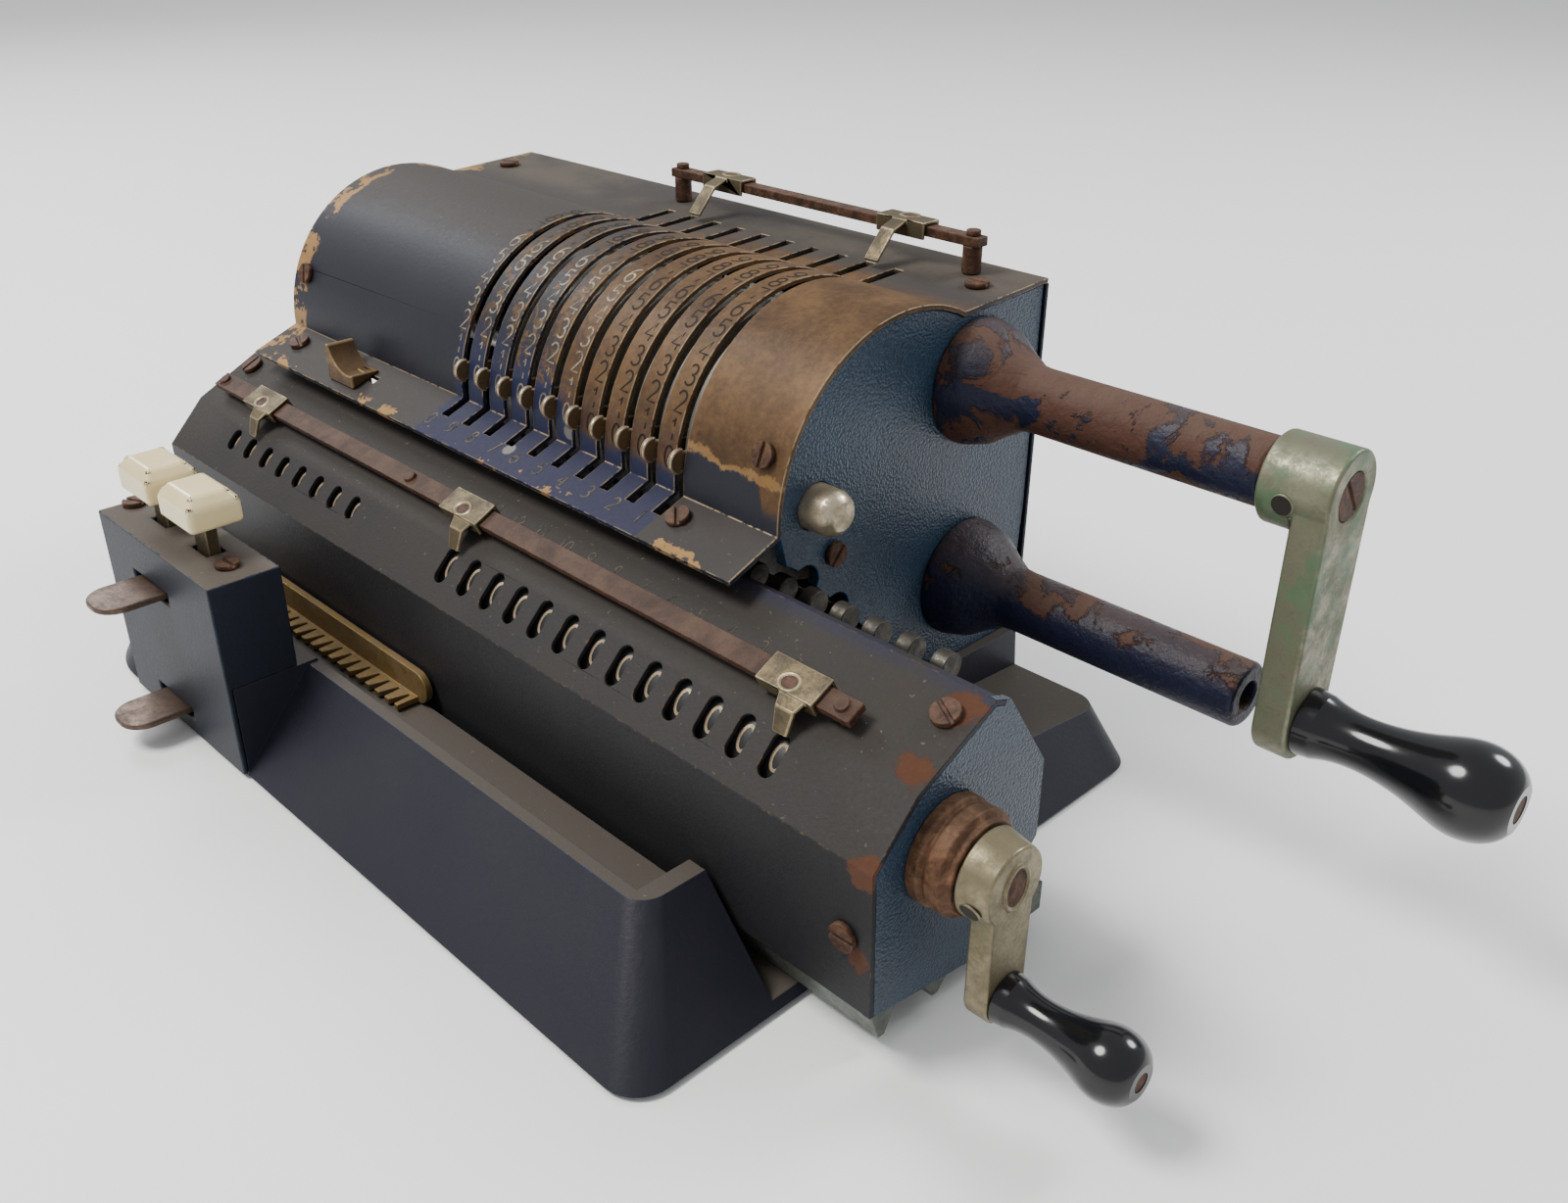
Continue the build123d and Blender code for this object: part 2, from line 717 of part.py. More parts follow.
def rear_pointer(x):
    low = rear_rail_z - 2.0
    high = rear_rail_z + 1.2 + 0.25
    half = 2.0 + 0.25
    clip = block(x - 7.8, x + 7.8, rear_rail_y - half - 0.8, rear_rail_y + half + 0.8, low, high + 0.8)
    clip -= block(x - 9, x + 9, rear_rail_y - half, rear_rail_y + half, low - 1, high)
    path = [(rear_rail_y - half, high + 0.8), (rear_rail_y - 7.5, high - 1.0), (rear_rail_y - 13.5, rear_top + 1.2)]
    return clip + prism(sheet_outline(path, 0.8), x - 2.2, x + 2.2)


rear_pointer_places = [-19.0, 46.5]


# ---------------------------------------------------------------- dials and their clearing
def result_dial(index):
    x = result_first + pitch * index
    dial = rod(x - 3.4, x + 3.4, dial_y, dial_z, dial_radius)
    return dial - rod(x - 4, x + 4, dial_y, dial_z, dial_shaft_radius + running_fit)


def counter_dial(index):
    x = counter_first + pitch * index
    dial = rod(x - 3.0, x + 3.0, dial_y, dial_z, dial_radius)
    return dial - rod(x - 4, x + 4, dial_y, dial_z, dial_shaft_radius + running_fit)


clear_hub_start = 158.3
clear_hub_end = 165.5
clear_length = 26.3
clear_grip_z = dial_z - clear_length


def dial_shaft():
    return rod(-20.0, clear_hub_end - 2, dial_y, dial_z, dial_shaft_radius)


def clear_bush():
    face = carriage_right
    ribs = [(face, 0), (face, 11.6), (face + 2.6, 11.6), (face + 3.4, 10.6), (face + 4.4, 11.3), (face + 7.4, 11.3),
            (face + 8.4, 9.8), (face + 9.5, 9.8), (face + 9.5, 0)]
    return turned(ribs, dial_y, dial_z) - rod(face - 1, face + 12, dial_y, dial_z, dial_shaft_radius + running_fit)


def clear_crank_arm():
    hub = turned([(clear_hub_start, 0), (clear_hub_start, 9.4), (clear_hub_end, 8.2), (clear_hub_end, 0)],
                 dial_y, dial_z)
    arm = block(160.0, clear_hub_end, dial_y - 6.0, dial_y + 6.0, clear_grip_z, dial_z)
    arm += rod(160.0, clear_hub_end, dial_y, clear_grip_z, 6.0)
    arm = hub + arm - rod(158, clear_hub_end - 2, dial_y, dial_z, dial_shaft_radius)
    return arm + rod(clear_hub_end, clear_hub_end + 29.0, dial_y, clear_grip_z, 2.0)


def clear_crank_grip():
    return grip(clear_hub_end + 0.3, 30.0, 0.72, dial_y, clear_grip_z, 2.0)


# The counter's own shaft ends in a butterfly outside the left end of the carriage.
def counter_clear_wing():
    face = carriage_left
    shaft = rod(face - 1, -26.0, dial_y, dial_z, dial_shaft_radius)
    hub = rod(face - 7.5, face - 0.4, dial_y, dial_z, 6.5)
    wing = block(face - 7.5, face - 4.5, dial_y - 4.5, dial_y + 4.5, dial_z - 13, dial_z + 13)
    return shaft + hub + wing


carry_y = 2.4
carry_z = 62.8
carry_pivot = around_drum(48.0, 180 + degrees(atan2(drum_z - carry_z, drum_y - carry_y)))
carry_count = 13


# Carry levers: an arm on the pivot rod inside the carriage, with a round head behind its top edge.
def carry_levers():
    first = result_first + pitch - 0.8
    levers = rod(result_first - 4, first + pitch * carry_count, *carry_pivot, 1.5)
    way = unit(carry_y - carry_pivot[0], carry_z - carry_pivot[1])
    side = (-1.7 * way[1], 1.7 * way[0])
    arm = [(carry_pivot[0] + side[0], carry_pivot[1] + side[1]), (carry_y + side[0], carry_z + side[1]),
           (carry_y - side[0], carry_z - side[1]), (carry_pivot[0] - side[0], carry_pivot[1] - side[1])]
    for index in range(carry_count):
        x = first + pitch * index
        levers += prism(arm, x - 1.1, x + 1.1)
        levers += rod(x - 1.9, x + 1.9, carry_y, carry_z, 3.2)
    return levers


# ---------------------------------------------------------------- small controls
def clearing_knob():
    shoulder = plate_right + 5.4
    stem = rod(72.0, shoulder, knob_y, knob_z, knob_radius)
    nose = turned([(shoulder, 0), (shoulder, knob_radius), (shoulder + 1.8, knob_radius - 0.8),
                   (shoulder + 3.0, knob_radius - 2.2), (shoulder + 3.5, 0)], knob_y, knob_z)
    return stem + nose


# The thumb slide on the apron: a saddle that drops from a high left lip, on a blade through the slot.
thumb_front = -18.4
thumb_back = -9.8
thumb_half = 6.6
thumb_high = 86.4
thumb_low = 80.2
thumb_clearance = 0.35
apron_slope = 0.372


def apron_height(y):
    return apron_edge[1] + (y - apron_edge[0]) * apron_slope


def thumb_tab():
    start = Plane((0, thumb_front, 0), x_dir=(1, 0, 0), z_dir=(0, -1, 0))
    left, right, floor = thumb_x - thumb_half, thumb_x + thumb_half, thumb_low - 9
    edges = Polyline((left + 1.5, thumb_high), (left, thumb_high), (left, floor), (right, floor), (right, thumb_low))
    edges += ThreePointArc((right, thumb_low), (thumb_x - 1.0, thumb_low + 0.7), (left + 1.5, thumb_high))
    saddle = extrude(start * make_face(edges), amount=thumb_back - thumb_front, dir=(0, 1, 0))
    ground = [(thumb_front - 3, apron_height(thumb_front - 3) + thumb_clearance),
              (thumb_back + 3, apron_height(thumb_back + 3) + thumb_clearance),
              (thumb_back + 3, 60), (thumb_front - 3, 60)]
    saddle -= prism(ground, thumb_x - 12, thumb_x + 12)
    blade = block(thumb_x - 6.0, thumb_x + 6.0, -13.2, -11.8, 73.0, 80.0)
    blade += block(thumb_x - 8.0, thumb_x + 8.0, -15.5, -9.5, 72.7, 73.9)
    return saddle + blade


# ---------------------------------------------------------------- the whole machine
save(base_casting(), "base_casting")
save(Compound(base_feet()), "base_feet")
save(Compound(guide_rails()), "guide_rails")
save(drilled(side_plate_right()), "side_plate_right")
save(drilled(side_plate_left()), "side_plate_left")
save(Compound(tie_bars()), "tie_bars")
save(drilled(drum_cover()), "drum_cover")
save(drilled(rear_cover()), "rear_cover")
save(Compound(frame_screws()), "frame_screws")
save(crank_sleeve(), "crank_sleeve")
save(rest_stub(), "rest_stub")
save(rear_rail(), "rear_rail")
save(Compound(rear_rail_posts()), "rear_rail_posts")
save(drilled(key_housing()), "key_housing")
for side, x in zip(("left", "right"), key_places):
    save(key_cap(x), f"key_cap_{side}")
    save(key_stem(x), f"key_stem_{side}")
for level, z in zip(("upper", "lower"), tab_heights):
    save(finger_tab(z), f"finger_tab_{level}")

save(drum_shaft(), "drum_shaft")
save(drum_gear(), "drum_gear")
save(Compound([pinwheel(index) for index in range(slot_count)]), "pinwheels")
for index in range(slot_count):
    save(setting_lever(index), f"setting_lever_{index + 1:02d}")

save(crank_shaft(), "crank_shaft")
save(crank_gear(), "crank_gear")
save(crank_arm(), "crank_arm")
save(crank_grip(), "crank_grip")
save(Compound(crank_screws()), "crank_screws")

save(carriage_shell(), "carriage_shell")
save(carriage_end(carriage_right - cap_thickness, dial_shaft_radius + running_fit), "carriage_end_right")
save(carriage_end(carriage_left, dial_shaft_radius + running_fit), "carriage_end_left")
save(carriage_runner(), "carriage_runner")
save(Compound(carriage_screws()), "carriage_screws")
save(rack_strip(), "rack_strip")
save(front_rail(), "front_rail")
for side, x in zip(("left", "middle", "right"), pointer_places):
    save(pointer(x), f"front_pointer_{side}")
for side, x in zip(("left", "right"), rear_pointer_places):
    save(rear_pointer(x), f"rear_pointer_{side}")
save(carry_levers(), "carry_levers")
save(clear_bush(), "clear_bush")
save(Compound([result_dial(index) for index in range(result_count)]), "result_dials")
save(Compound([counter_dial(index) for index in range(counter_count)]), "counter_dials")
save(dial_shaft(), "dial_shaft")
save(clear_crank_arm(), "clear_crank_arm")
save(clear_crank_grip(), "clear_crank_grip")
save(counter_clear_wing(), "counter_clear_wing")
save(clearing_knob(), "clearing_knob")
save(thumb_tab(), "thumb_tab")
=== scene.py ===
import bpy
import bmesh
import json
import math
from mathutils import Matrix, Vector

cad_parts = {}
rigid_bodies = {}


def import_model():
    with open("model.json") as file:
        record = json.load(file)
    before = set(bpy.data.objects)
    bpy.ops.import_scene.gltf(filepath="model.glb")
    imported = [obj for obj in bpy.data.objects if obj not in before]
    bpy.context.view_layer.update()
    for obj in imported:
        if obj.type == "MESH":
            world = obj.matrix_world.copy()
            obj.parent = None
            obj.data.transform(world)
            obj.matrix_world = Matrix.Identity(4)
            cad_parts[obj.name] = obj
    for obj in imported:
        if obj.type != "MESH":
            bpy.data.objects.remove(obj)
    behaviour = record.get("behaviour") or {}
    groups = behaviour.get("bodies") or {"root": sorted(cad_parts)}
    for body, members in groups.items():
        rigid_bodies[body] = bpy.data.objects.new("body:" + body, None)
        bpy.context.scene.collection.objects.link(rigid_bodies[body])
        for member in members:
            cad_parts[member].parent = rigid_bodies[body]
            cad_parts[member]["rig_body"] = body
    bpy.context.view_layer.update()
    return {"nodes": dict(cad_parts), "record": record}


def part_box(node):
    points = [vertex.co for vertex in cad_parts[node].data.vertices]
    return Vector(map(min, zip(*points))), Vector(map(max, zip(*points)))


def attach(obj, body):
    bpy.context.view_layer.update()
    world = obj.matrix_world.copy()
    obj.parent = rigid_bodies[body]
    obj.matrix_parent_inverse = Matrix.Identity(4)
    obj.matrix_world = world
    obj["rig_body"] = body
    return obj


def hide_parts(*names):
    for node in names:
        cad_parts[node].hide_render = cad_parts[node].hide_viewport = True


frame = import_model()
nodes = frame["nodes"]
mm = 0.001
print("frame loaded:", len(nodes), "nodes")

# Where the machine's main lines run, read from the CAD pieces.
coverLow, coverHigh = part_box("drum_cover")
shaftLow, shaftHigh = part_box("drum_shaft")
dialLow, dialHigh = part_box("result_dials")
drumY = (shaftLow.y + shaftHigh.y) / 2
drumZ = (shaftLow.z + shaftHigh.z) / 2
dialY = (dialLow.y + dialHigh.y) / 2
dialZ = (dialLow.z + dialHigh.z) / 2
leverMiddle = [sum((c.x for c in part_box(f"setting_lever_{i:02d}")), 0.0) / 2 for i in range(1, 11)]
pitch = (leverMiddle[-1] - leverMiddle[0]) / 9


# One output socket of a material, with arithmetic.
class Wire:
    def __init__(self, finish, socket):
        self.finish, self.socket = finish, socket

    def math(self, operation, other=None, flip=False, clamp=False):
        first, second = (other, self) if flip else (self, other)
        values = {0: first} if second is None else {0: first, 1: second}
        return self.finish.node("ShaderNodeMath", {"operation": operation, "use_clamp": clamp}, values)

    def __add__(self, other): return self.math("ADD", other)
    def __radd__(self, other): return self.math("ADD", other, True)
    def __sub__(self, other): return self.math("SUBTRACT", other)
    def __rsub__(self, other): return self.math("SUBTRACT", other, True)
    def __mul__(self, other): return self.math("MULTIPLY", other)
    def __rmul__(self, other): return self.math("MULTIPLY", other, True)
    def __abs__(self): return self.math("ABSOLUTE")
    def clamp(self): return self.math("ADD", 0.0, clamp=True)


# A material under construction: nodes are added through node(), and the shader is set by surface().
class Finish:
    def __init__(self, name):
        self.material = bpy.data.materials.new(name)
        self.material.use_nodes = True
        self.tree = self.material.node_tree
        self.tree.nodes.clear()
        self.place = self.node("ShaderNodeTexCoord", output="Object")
        geometry = self.node("ShaderNodeNewGeometry", output=None)
        self.normal = Wire(self, geometry.outputs["Normal"])

    def node(self, kind, settings=None, inputs=None, output=0):
        made = self.tree.nodes.new(kind)
        for key, value in (settings or {}).items():
            if key == "stops":
                self.setStops(made.color_ramp, value)
            else:
                setattr(made, key, value)
        for key, value in (inputs or {}).items():
            socket = made.inputs[key]
            if isinstance(value, Wire):
                self.tree.links.new(value.socket, socket)
            elif value is not None:
                socket.default_value = value
        return made if output is None else Wire(self, made.outputs[output])

    def setStops(self, ramp, stops):
        while len(ramp.elements) < len(stops):
            ramp.elements.new(0.5)
        for element, (position, colour) in zip(ramp.elements, stops):
            element.position = position
            element.color = (*colour, 1) if len(colour) == 3 else colour

    def split(self, vector):
        parts = self.node("ShaderNodeSeparateXYZ", inputs={0: vector}, output=None)
        return [Wire(self, parts.outputs[axis]) for axis in range(3)]

    def noise(self, size, detail=4.0, rough=0.55, warp=0.0):
        inputs = {"Vector": self.place, "Scale": 1 / size, "Detail": detail, "Roughness": rough,
                  "Distortion": warp}
        return self.node("ShaderNodeTexNoise", inputs=inputs)

    def cells(self, size, feature="F1"):
        inputs = {"Vector": self.place, "Scale": 1 / size}
        return self.node("ShaderNodeTexVoronoi", {"feature": feature}, inputs)

    def step(self, value, low, high):
        inputs = {"Value": value, "From Min": low, "From Max": high}
        return self.node("ShaderNodeMapRange", {"interpolation_type": "SMOOTHSTEP"}, inputs)

    def mix(self, share, first, second):
        return self.node("ShaderNodeMix", {"data_type": "RGBA"}, {0: share, 6: first, 7: second}, 2)

    def ramp(self, value, stops):
        return self.node("ShaderNodeValToRGB", {"stops": stops}, {0: value})

    def surface(self, bump=0.0, bumpSize=0.0002, height=None, **values):
        shader = self.tree.nodes.new("ShaderNodeBsdfPrincipled")
        for key, value in values.items():
            socket = shader.inputs[key]
            if isinstance(value, Wire):
                self.tree.links.new(value.socket, socket)
            else:
                socket.default_value = value
        if height is not None:
            inputs = {"Strength": bump, "Distance": bumpSize, "Height": height}
            lifted = self.node("ShaderNodeBump", inputs=inputs)
            self.tree.links.new(lifted.socket, shader.inputs["Normal"])
        out = self.tree.nodes.new("ShaderNodeOutputMaterial")
        self.tree.links.new(shader.outputs[0], out.inputs[0])
        return self.material


def rgb(r, g, b):
    return (r, g, b, 1)


# How much a surface looks up, from 0 to 1: dust settles there.
def facingUp(finish, low=0.35, high=0.95):
    return finish.step(finish.split(finish.normal)[2], low, high)


# Enamel that has gone dull and dusty. An edge version of the same paint is mostly worn through, or for the
# base, housing and side plates carries a painted blue highlight in the same patches.
def enamel(name, look, extra=None, edgeWear=0.0):
    f = Finish(name)
    broad = f.noise(look["patch"], 5.0, 0.6)
    fine = f.noise(look["grain"], 3.0, 0.7)
    paint = f.mix(broad, rgb(*look["dark"]), rgb(*look["light"]))
    up = facingUp(f, look.get("dustFrom", 0.3), 1.0)
    dustMask = (f.step(up * 0.75 + broad * 0.55 + fine * 0.25, 0.62, 1.15) * look["dustShare"]).clamp()
    colour = f.mix(dustMask, paint, rgb(*look["dust"]))
    fleck = f.step(f.noise(0.0013, 2.0, 0.5), 0.70, 0.74) * up * look.get("flecks", 0.25)
    colour = f.mix(fleck.clamp(), colour, rgb(0.22, 0.20, 0.17))
    rough = fine * 0.16 + look["rough"] + dustMask * 0.25
    metal = None
    if extra:
        colour, rough, metal = extra(f, colour, rough, fine, broad)
    # Patches of the edge tone on the rounded edges: worn metal, or for the base, housing and side plates a
    # painted blue highlight.
    if edgeWear:
        worn = f.step(f.noise(look["chip"], 5.0, 0.75), 0.62 - edgeWear * 0.3, 0.70 - edgeWear * 0.3)
        tone = f.mix(f.noise(0.0015, 3.0), rgb(*look["bare"]), rgb(*[c * 0.6 for c in look["bare"]]))
        colour = f.mix(worn, colour, tone)
        metal = worn * 0.6
    values = {"Base Color": colour, "Roughness": rough, "Specular IOR Level": look.get("shine", 0.22)}
    if metal is not None:
        values["Metallic"] = metal
    return f.surface(look["bump"], look["bumpSize"], fine * look["grit"] + broad * 0.3, **values)


coverLook = {"dark": (0.006, 0.007, 0.012), "light": (0.015, 0.015, 0.022), "dust": (0.040, 0.033, 0.027),
             "patch": 0.035, "grain": 0.0011, "chip": 0.004, "dustShare": 0.75, "rough": 0.44, "grit": 0.6,
             "bump": 0.4, "bumpSize": 0.0002, "bare": (0.30, 0.185, 0.072), "dustFrom": 0.62, "flecks": 0.15,
             "patina": (0.045, 0.023, 0.010), "patinaLight": (0.125, 0.069, 0.028),
             "navy": (0.010, 0.013, 0.044)}


# Where the cover is worn, in metres from the drum's axis or from the cover's own edges.
# The two places for the bands and the panel are in slot spacings.
coverPlaces = {"bandLow": (0.012, 0.0135), "brownLow": (0.020, 0.023), "navyFade": (0.024, 0.010),
               "panelLow": (0.0105, 0.0115), "panelFoot": (0.002, 0.006), "rim": 0.0108,
               "rimWidth": (0.0011, 0.0004),
               "cornerDrop": 0.016, "cornerRun": (-0.008, -0.001), "bandBack": (0.030, 0.018),
               "panelBack": (0.026, 0.010), "dustyBack": (0.022, 0.034), "spotFront": (-0.040, -0.0415),
               "leftChip": (0.009, 0.0075), "frontChip": (0.0032, 0.0024),
               "bandStart": (-0.55, -0.35), "panelStart": (0.10, 0.14)}
coverTones = {"spot": (0.20, 0.19, 0.16), "chipDark": (0.20, 0.10, 0.032), "topDust": (0.066, 0.054, 0.041)}


# A pair of places measured from a start.
def offset(start, pair, scale=1.0):
    return [start + value * scale for value in coverPlaces[pair]]


# The slotted cover: bronze patina on the crank side, worn brass specks on the bands, dark paint elsewhere.
def coverWear(f, colour, rough, fine, broad):
    x, y, z = f.split(f.place)
    ragged = f.noise(0.016, 6.0, 0.7) - 0.5
    fray = f.noise(0.005, 6.0, 0.75) - 0.5
    height = z + ragged * 0.010 + fray * 0.004
    onBands = f.step(x + fray * 0.004, *offset(leverMiddle[0], "bandStart", pitch))
    share = f.step(x + ragged * 0.020, leverMiddle[2], leverMiddle[6])
    rightPanel = f.step(x, *offset(leverMiddle[-1], "panelStart", pitch))

    # Navy paint low on the bands.
    navyBand = (onBands * (1 - rightPanel) * f.step(z, *offset(drumZ, "navyFade"))).clamp()
    colour = f.mix(navyBand * 0.75, colour, rgb(*coverLook["navy"]))

    # Bronze: specks and a growing patina on the bands, and nearly the whole panel beside the last slot.
    climb = f.step(z, drumZ, drumZ + 0.04)
    speckle = f.step(f.noise(0.0042, 6.0, 0.78, warp=0.8) + share * 0.10 + climb * 0.03, 0.545, 0.575)
    lowEdge = f.step(height, *offset(drumZ, "bandLow"))
    brown = (share * f.step(height + share * 0.018, *offset(drumZ, "brownLow"))).clamp()
    back = f.step(y + ragged * 0.006, *offset(drumY, "bandBack"))
    bandWear = (onBands * (1 - rightPanel) * (speckle * lowEdge * 0.9 + brown * 0.85) * back).clamp()
    corner = f.step(x, *offset(coverHigh.x, "cornerRun")) * coverPlaces["cornerDrop"]
    panelEdge = f.step(height + corner, *offset(drumZ, "panelLow"))
    panelFoot = f.step(z, *offset(drumZ, "panelFoot"))
    panelTop = f.step(y + ragged * 0.012, *offset(drumY, "panelBack"))
    panel = ((rightPanel * panelEdge * panelFoot).clamp() * panelTop).clamp()
    bronze = (bandWear + panel).clamp()
    tone = f.noise(0.02, 6.0, 0.6) * 0.7 + f.noise(0.0016, 4.0, 0.7) * 0.35
    patina = f.mix(f.step(tone, 0.35, 0.75), rgb(*coverLook["patina"]), rgb(*coverLook["patinaLight"]))
    colour = f.mix(bronze, colour, patina)

    # Pale spots on the apron, then chips down to ochre metal.
    spots = f.step(f.cells(0.021), 0.115, 0.095) * f.step(y, *offset(drumY, "spotFront"))
    spots = (spots * f.step(x, leverMiddle[0], leverMiddle[1])).clamp()
    colour = f.mix(spots * 0.7, colour, rgb(*coverTones["spot"]))
    fromRim = abs(height - drumZ - coverPlaces["rim"])
    rimLine = (rightPanel * f.step(fromRim, *coverPlaces["rimWidth"])).clamp()
    leftChip = (f.step(x + ragged * 0.016, *offset(coverLow.x, "leftChip"))
                * f.step(f.noise(0.016, 5.0, 0.7), 0.50, 0.52)).clamp()
    frontChip = (f.step(y + fray * 0.006, *offset(coverLow.y, "frontChip"))
                 * f.step(f.noise(0.012, 4.0, 0.7), 0.58, 0.60)).clamp()
    chips = (leftChip + frontChip + rimLine * 0.7).clamp()
    ochre = f.mix(f.noise(0.003), rgb(*coverTones["chipDark"]), rgb(*coverLook["bare"]))
    colour = f.mix(chips, colour, ochre)

    dustyTop = (f.step(y + ragged * 0.01, *offset(drumY, "dustyBack")) * f.step(broad, 0.3, 0.6)).clamp()
    colour = f.mix(dustyTop * 0.75, colour, rgb(*coverTones["topDust"]))
    return colour, rough + bronze * 0.04, (bronze * 0.30 + chips * 0.35).clamp()


shellLook = {"dark": (0.007, 0.007, 0.009), "light": (0.018, 0.0165, 0.0175), "dust": (0.026, 0.0205, 0.0155),
             "patch": 0.03, "grain": 0.0009, "chip": 0.003, "dustShare": 0.75, "rough": 0.42, "grit": 0.8,
             "bump": 0.5, "bumpSize": 0.00022, "bare": (0.12, 0.075, 0.042), "dustFrom": 0.2,
             "rust": (0.080, 0.036, 0.021), "rustDark": (0.060, 0.022, 0.011), "navy": (0.011, 0.013, 0.036),
             "navyFrom": (-0.016, -0.0125)}
shellRustSpots = [(0.1440, -0.0300, 0.0620, 0.0046), (0.1465, -0.0440, 0.0470, 0.0040),    # place and radius
                  (0.1450, -0.0455, 0.0270, 0.0030), (0.1440, -0.0160, 0.0700, 0.0042)]


# The carriage shell: rust at its crank end, and navy paint left along its top edge.
def shellWear(f, colour, rough, fine, broad):
    y = f.split(f.place)[1]
    ragged = f.noise(0.006, 6.0, 0.75)
    rust = f.step(ragged, 0.74, 0.78) * 0.6
    for spot in shellRustSpots:
        away = f.node("ShaderNodeVectorMath", {"operation": "DISTANCE"}, {0: f.place, 1: spot[:3]}, "Value")
        rust = rust + f.step(away + (ragged - 0.5) * 0.012, spot[3], spot[3] * 0.75)
    rust = rust.clamp()
    rustTone = f.mix(f.noise(0.002, 4.0, 0.7), rgb(*shellLook["rustDark"]), rgb(*shellLook["rust"]))
    navy = (f.step(y, *shellLook["navyFrom"]) * (1 - f.step(broad, 0.45, 0.7))).clamp()
    colour = f.mix(navy * 0.6, colour, rgb(*shellLook["navy"]))
    return f.mix(rust, colour, rustTone), rough + rust * 0.3, None


# The base's "bare" tone is not metal: it is a painted blue highlight for the rounded edges.
baseLook = {"dark": (0.007, 0.008, 0.016), "light": (0.020, 0.019, 0.024), "dust": (0.066, 0.055, 0.044),
            "patch": 0.05, "grain": 0.0012, "chip": 0.004, "dustShare": 0.9, "rough": 0.36, "grit": 0.6,
            "bump": 0.4, "bumpSize": 0.00025, "bare": (0.024, 0.034, 0.070), "dustFrom": 0.70}
# The housing's "bare" tone is a painted blue highlight for its rounded edges, not metal.
housingLook = dict(shellLook, dark=(0.007, 0.010, 0.017), light=(0.011, 0.014, 0.021), dustShare=0.8,
                   dust=(0.085, 0.069, 0.053), bare=(0.03, 0.045, 0.07), dustFrom=0.5)


crinkleLook = {"dark": (0.005, 0.012, 0.024), "light": (0.026, 0.054, 0.090), "rough": 0.24, "size": 0.0006,
               "dust": (0.075, 0.062, 0.050)}


# Crinkle enamel: fine blue wrinkles, their tops painted lighter as a painted highlight.
def crinkle(name):
    f = Finish(name)
    wrinkle = f.cells(crinkleLook["size"], "SMOOTH_F1")
    drift = f.noise(0.02, 4.0, 0.6)
    # Lighter on the wrinkle tops, a painted highlight, mixed with a random drift in tone.
    tone = (1 - wrinkle * 1.4).clamp() * 0.5 + drift * 0.5
    colour = f.mix(tone, rgb(*crinkleLook["dark"]), rgb(*crinkleLook["light"]))
    dusty = (facingUp(f, 0.4, 1.0) * f.step(drift, 0.3, 0.7) * 0.6).clamp()
    colour = f.mix(dusty, colour, rgb(*crinkleLook["dust"]))
    rough = wrinkle * 0.25 + crinkleLook["rough"]
    return f.surface(0.8, 0.00028, 1 - wrinkle,
                     **{"Base Color": colour, "Roughness": rough, "Specular IOR Level": 0.38})


tubeLook = {"paint": (0.006, 0.007, 0.018), "paintLight": (0.011, 0.013, 0.032),
            "rust": (0.032, 0.014, 0.010), "rustLight": (0.080, 0.032, 0.019), "dust": (0.105, 0.070, 0.050),
            "size": 0.016}


# Enamelled tube whose paint has flaked off in large patches down to brown rust.
def rustyTube(name, share, topShare):
    f = Finish(name)
    flake = f.noise(tubeLook["size"], 8.0, 0.62, warp=0.5)
    top = facingUp(f, -0.4, 0.9)
    fray = (f.noise(0.002, 4.0, 0.8) - 0.5) * 0.10
    bare = f.step(flake + fray + top * topShare + share, 0.49, 0.53)
    rustTone = f.mix(f.noise(0.0022, 6.0, 0.75), rgb(*tubeLook["rust"]), rgb(*tubeLook["rustLight"]))
    paint = f.mix(f.noise(0.01, 3.0, 0.5), rgb(*tubeLook["paint"]), rgb(*tubeLook["paintLight"]))
    dust = (facingUp(f, 0.3, 1.0) * f.noise(0.012, 4.0, 0.7) * 0.7).clamp()
    colour = f.mix(dust, f.mix(bare, paint, rustTone), rgb(*tubeLook["dust"]))
    grain = f.noise(0.0007, 3.0, 0.7)
    pits = f.noise(0.0022, 3.0, 0.6)
    height = (1 - bare) * 0.8 + grain * 0.35 + pits * 0.9
    rough = 0.38 + bare * 0.24 + grain * 0.1
    return f.surface(1.0, 0.0005, height,
                     **{"Base Color": colour, "Roughness": rough, "Specular IOR Level": 0.22})


rustDust = (0.085, 0.060, 0.042)


# Bare steel gone to brown rust, with some metal still shining through.
def rust(name, dark=(0.026, 0.013, 0.009), light=(0.100, 0.048, 0.027), shine=0.25, size=0.0025):
    f = Finish(name)
    patches = f.noise(size, 6.0, 0.72, warp=0.3)
    grain = f.noise(0.0005, 3.0, 0.7)
    colour = f.mix(f.step(patches, 0.3, 0.72), rgb(*dark), rgb(*light))
    dusty = (facingUp(f, 0.5, 1.0) * f.noise(0.006, 3.0) * 0.45).clamp()
    colour = f.mix(dusty, colour, rgb(*rustDust))
    metal = (1 - f.step(patches, 0.45, 0.7)) * shine
    return f.surface(0.6, 0.00015, grain + patches * 0.4,
                     **{"Base Color": colour, "Roughness": 0.5 + grain * 0.25, "Metallic": metal,
                        "Specular IOR Level": 0.2})


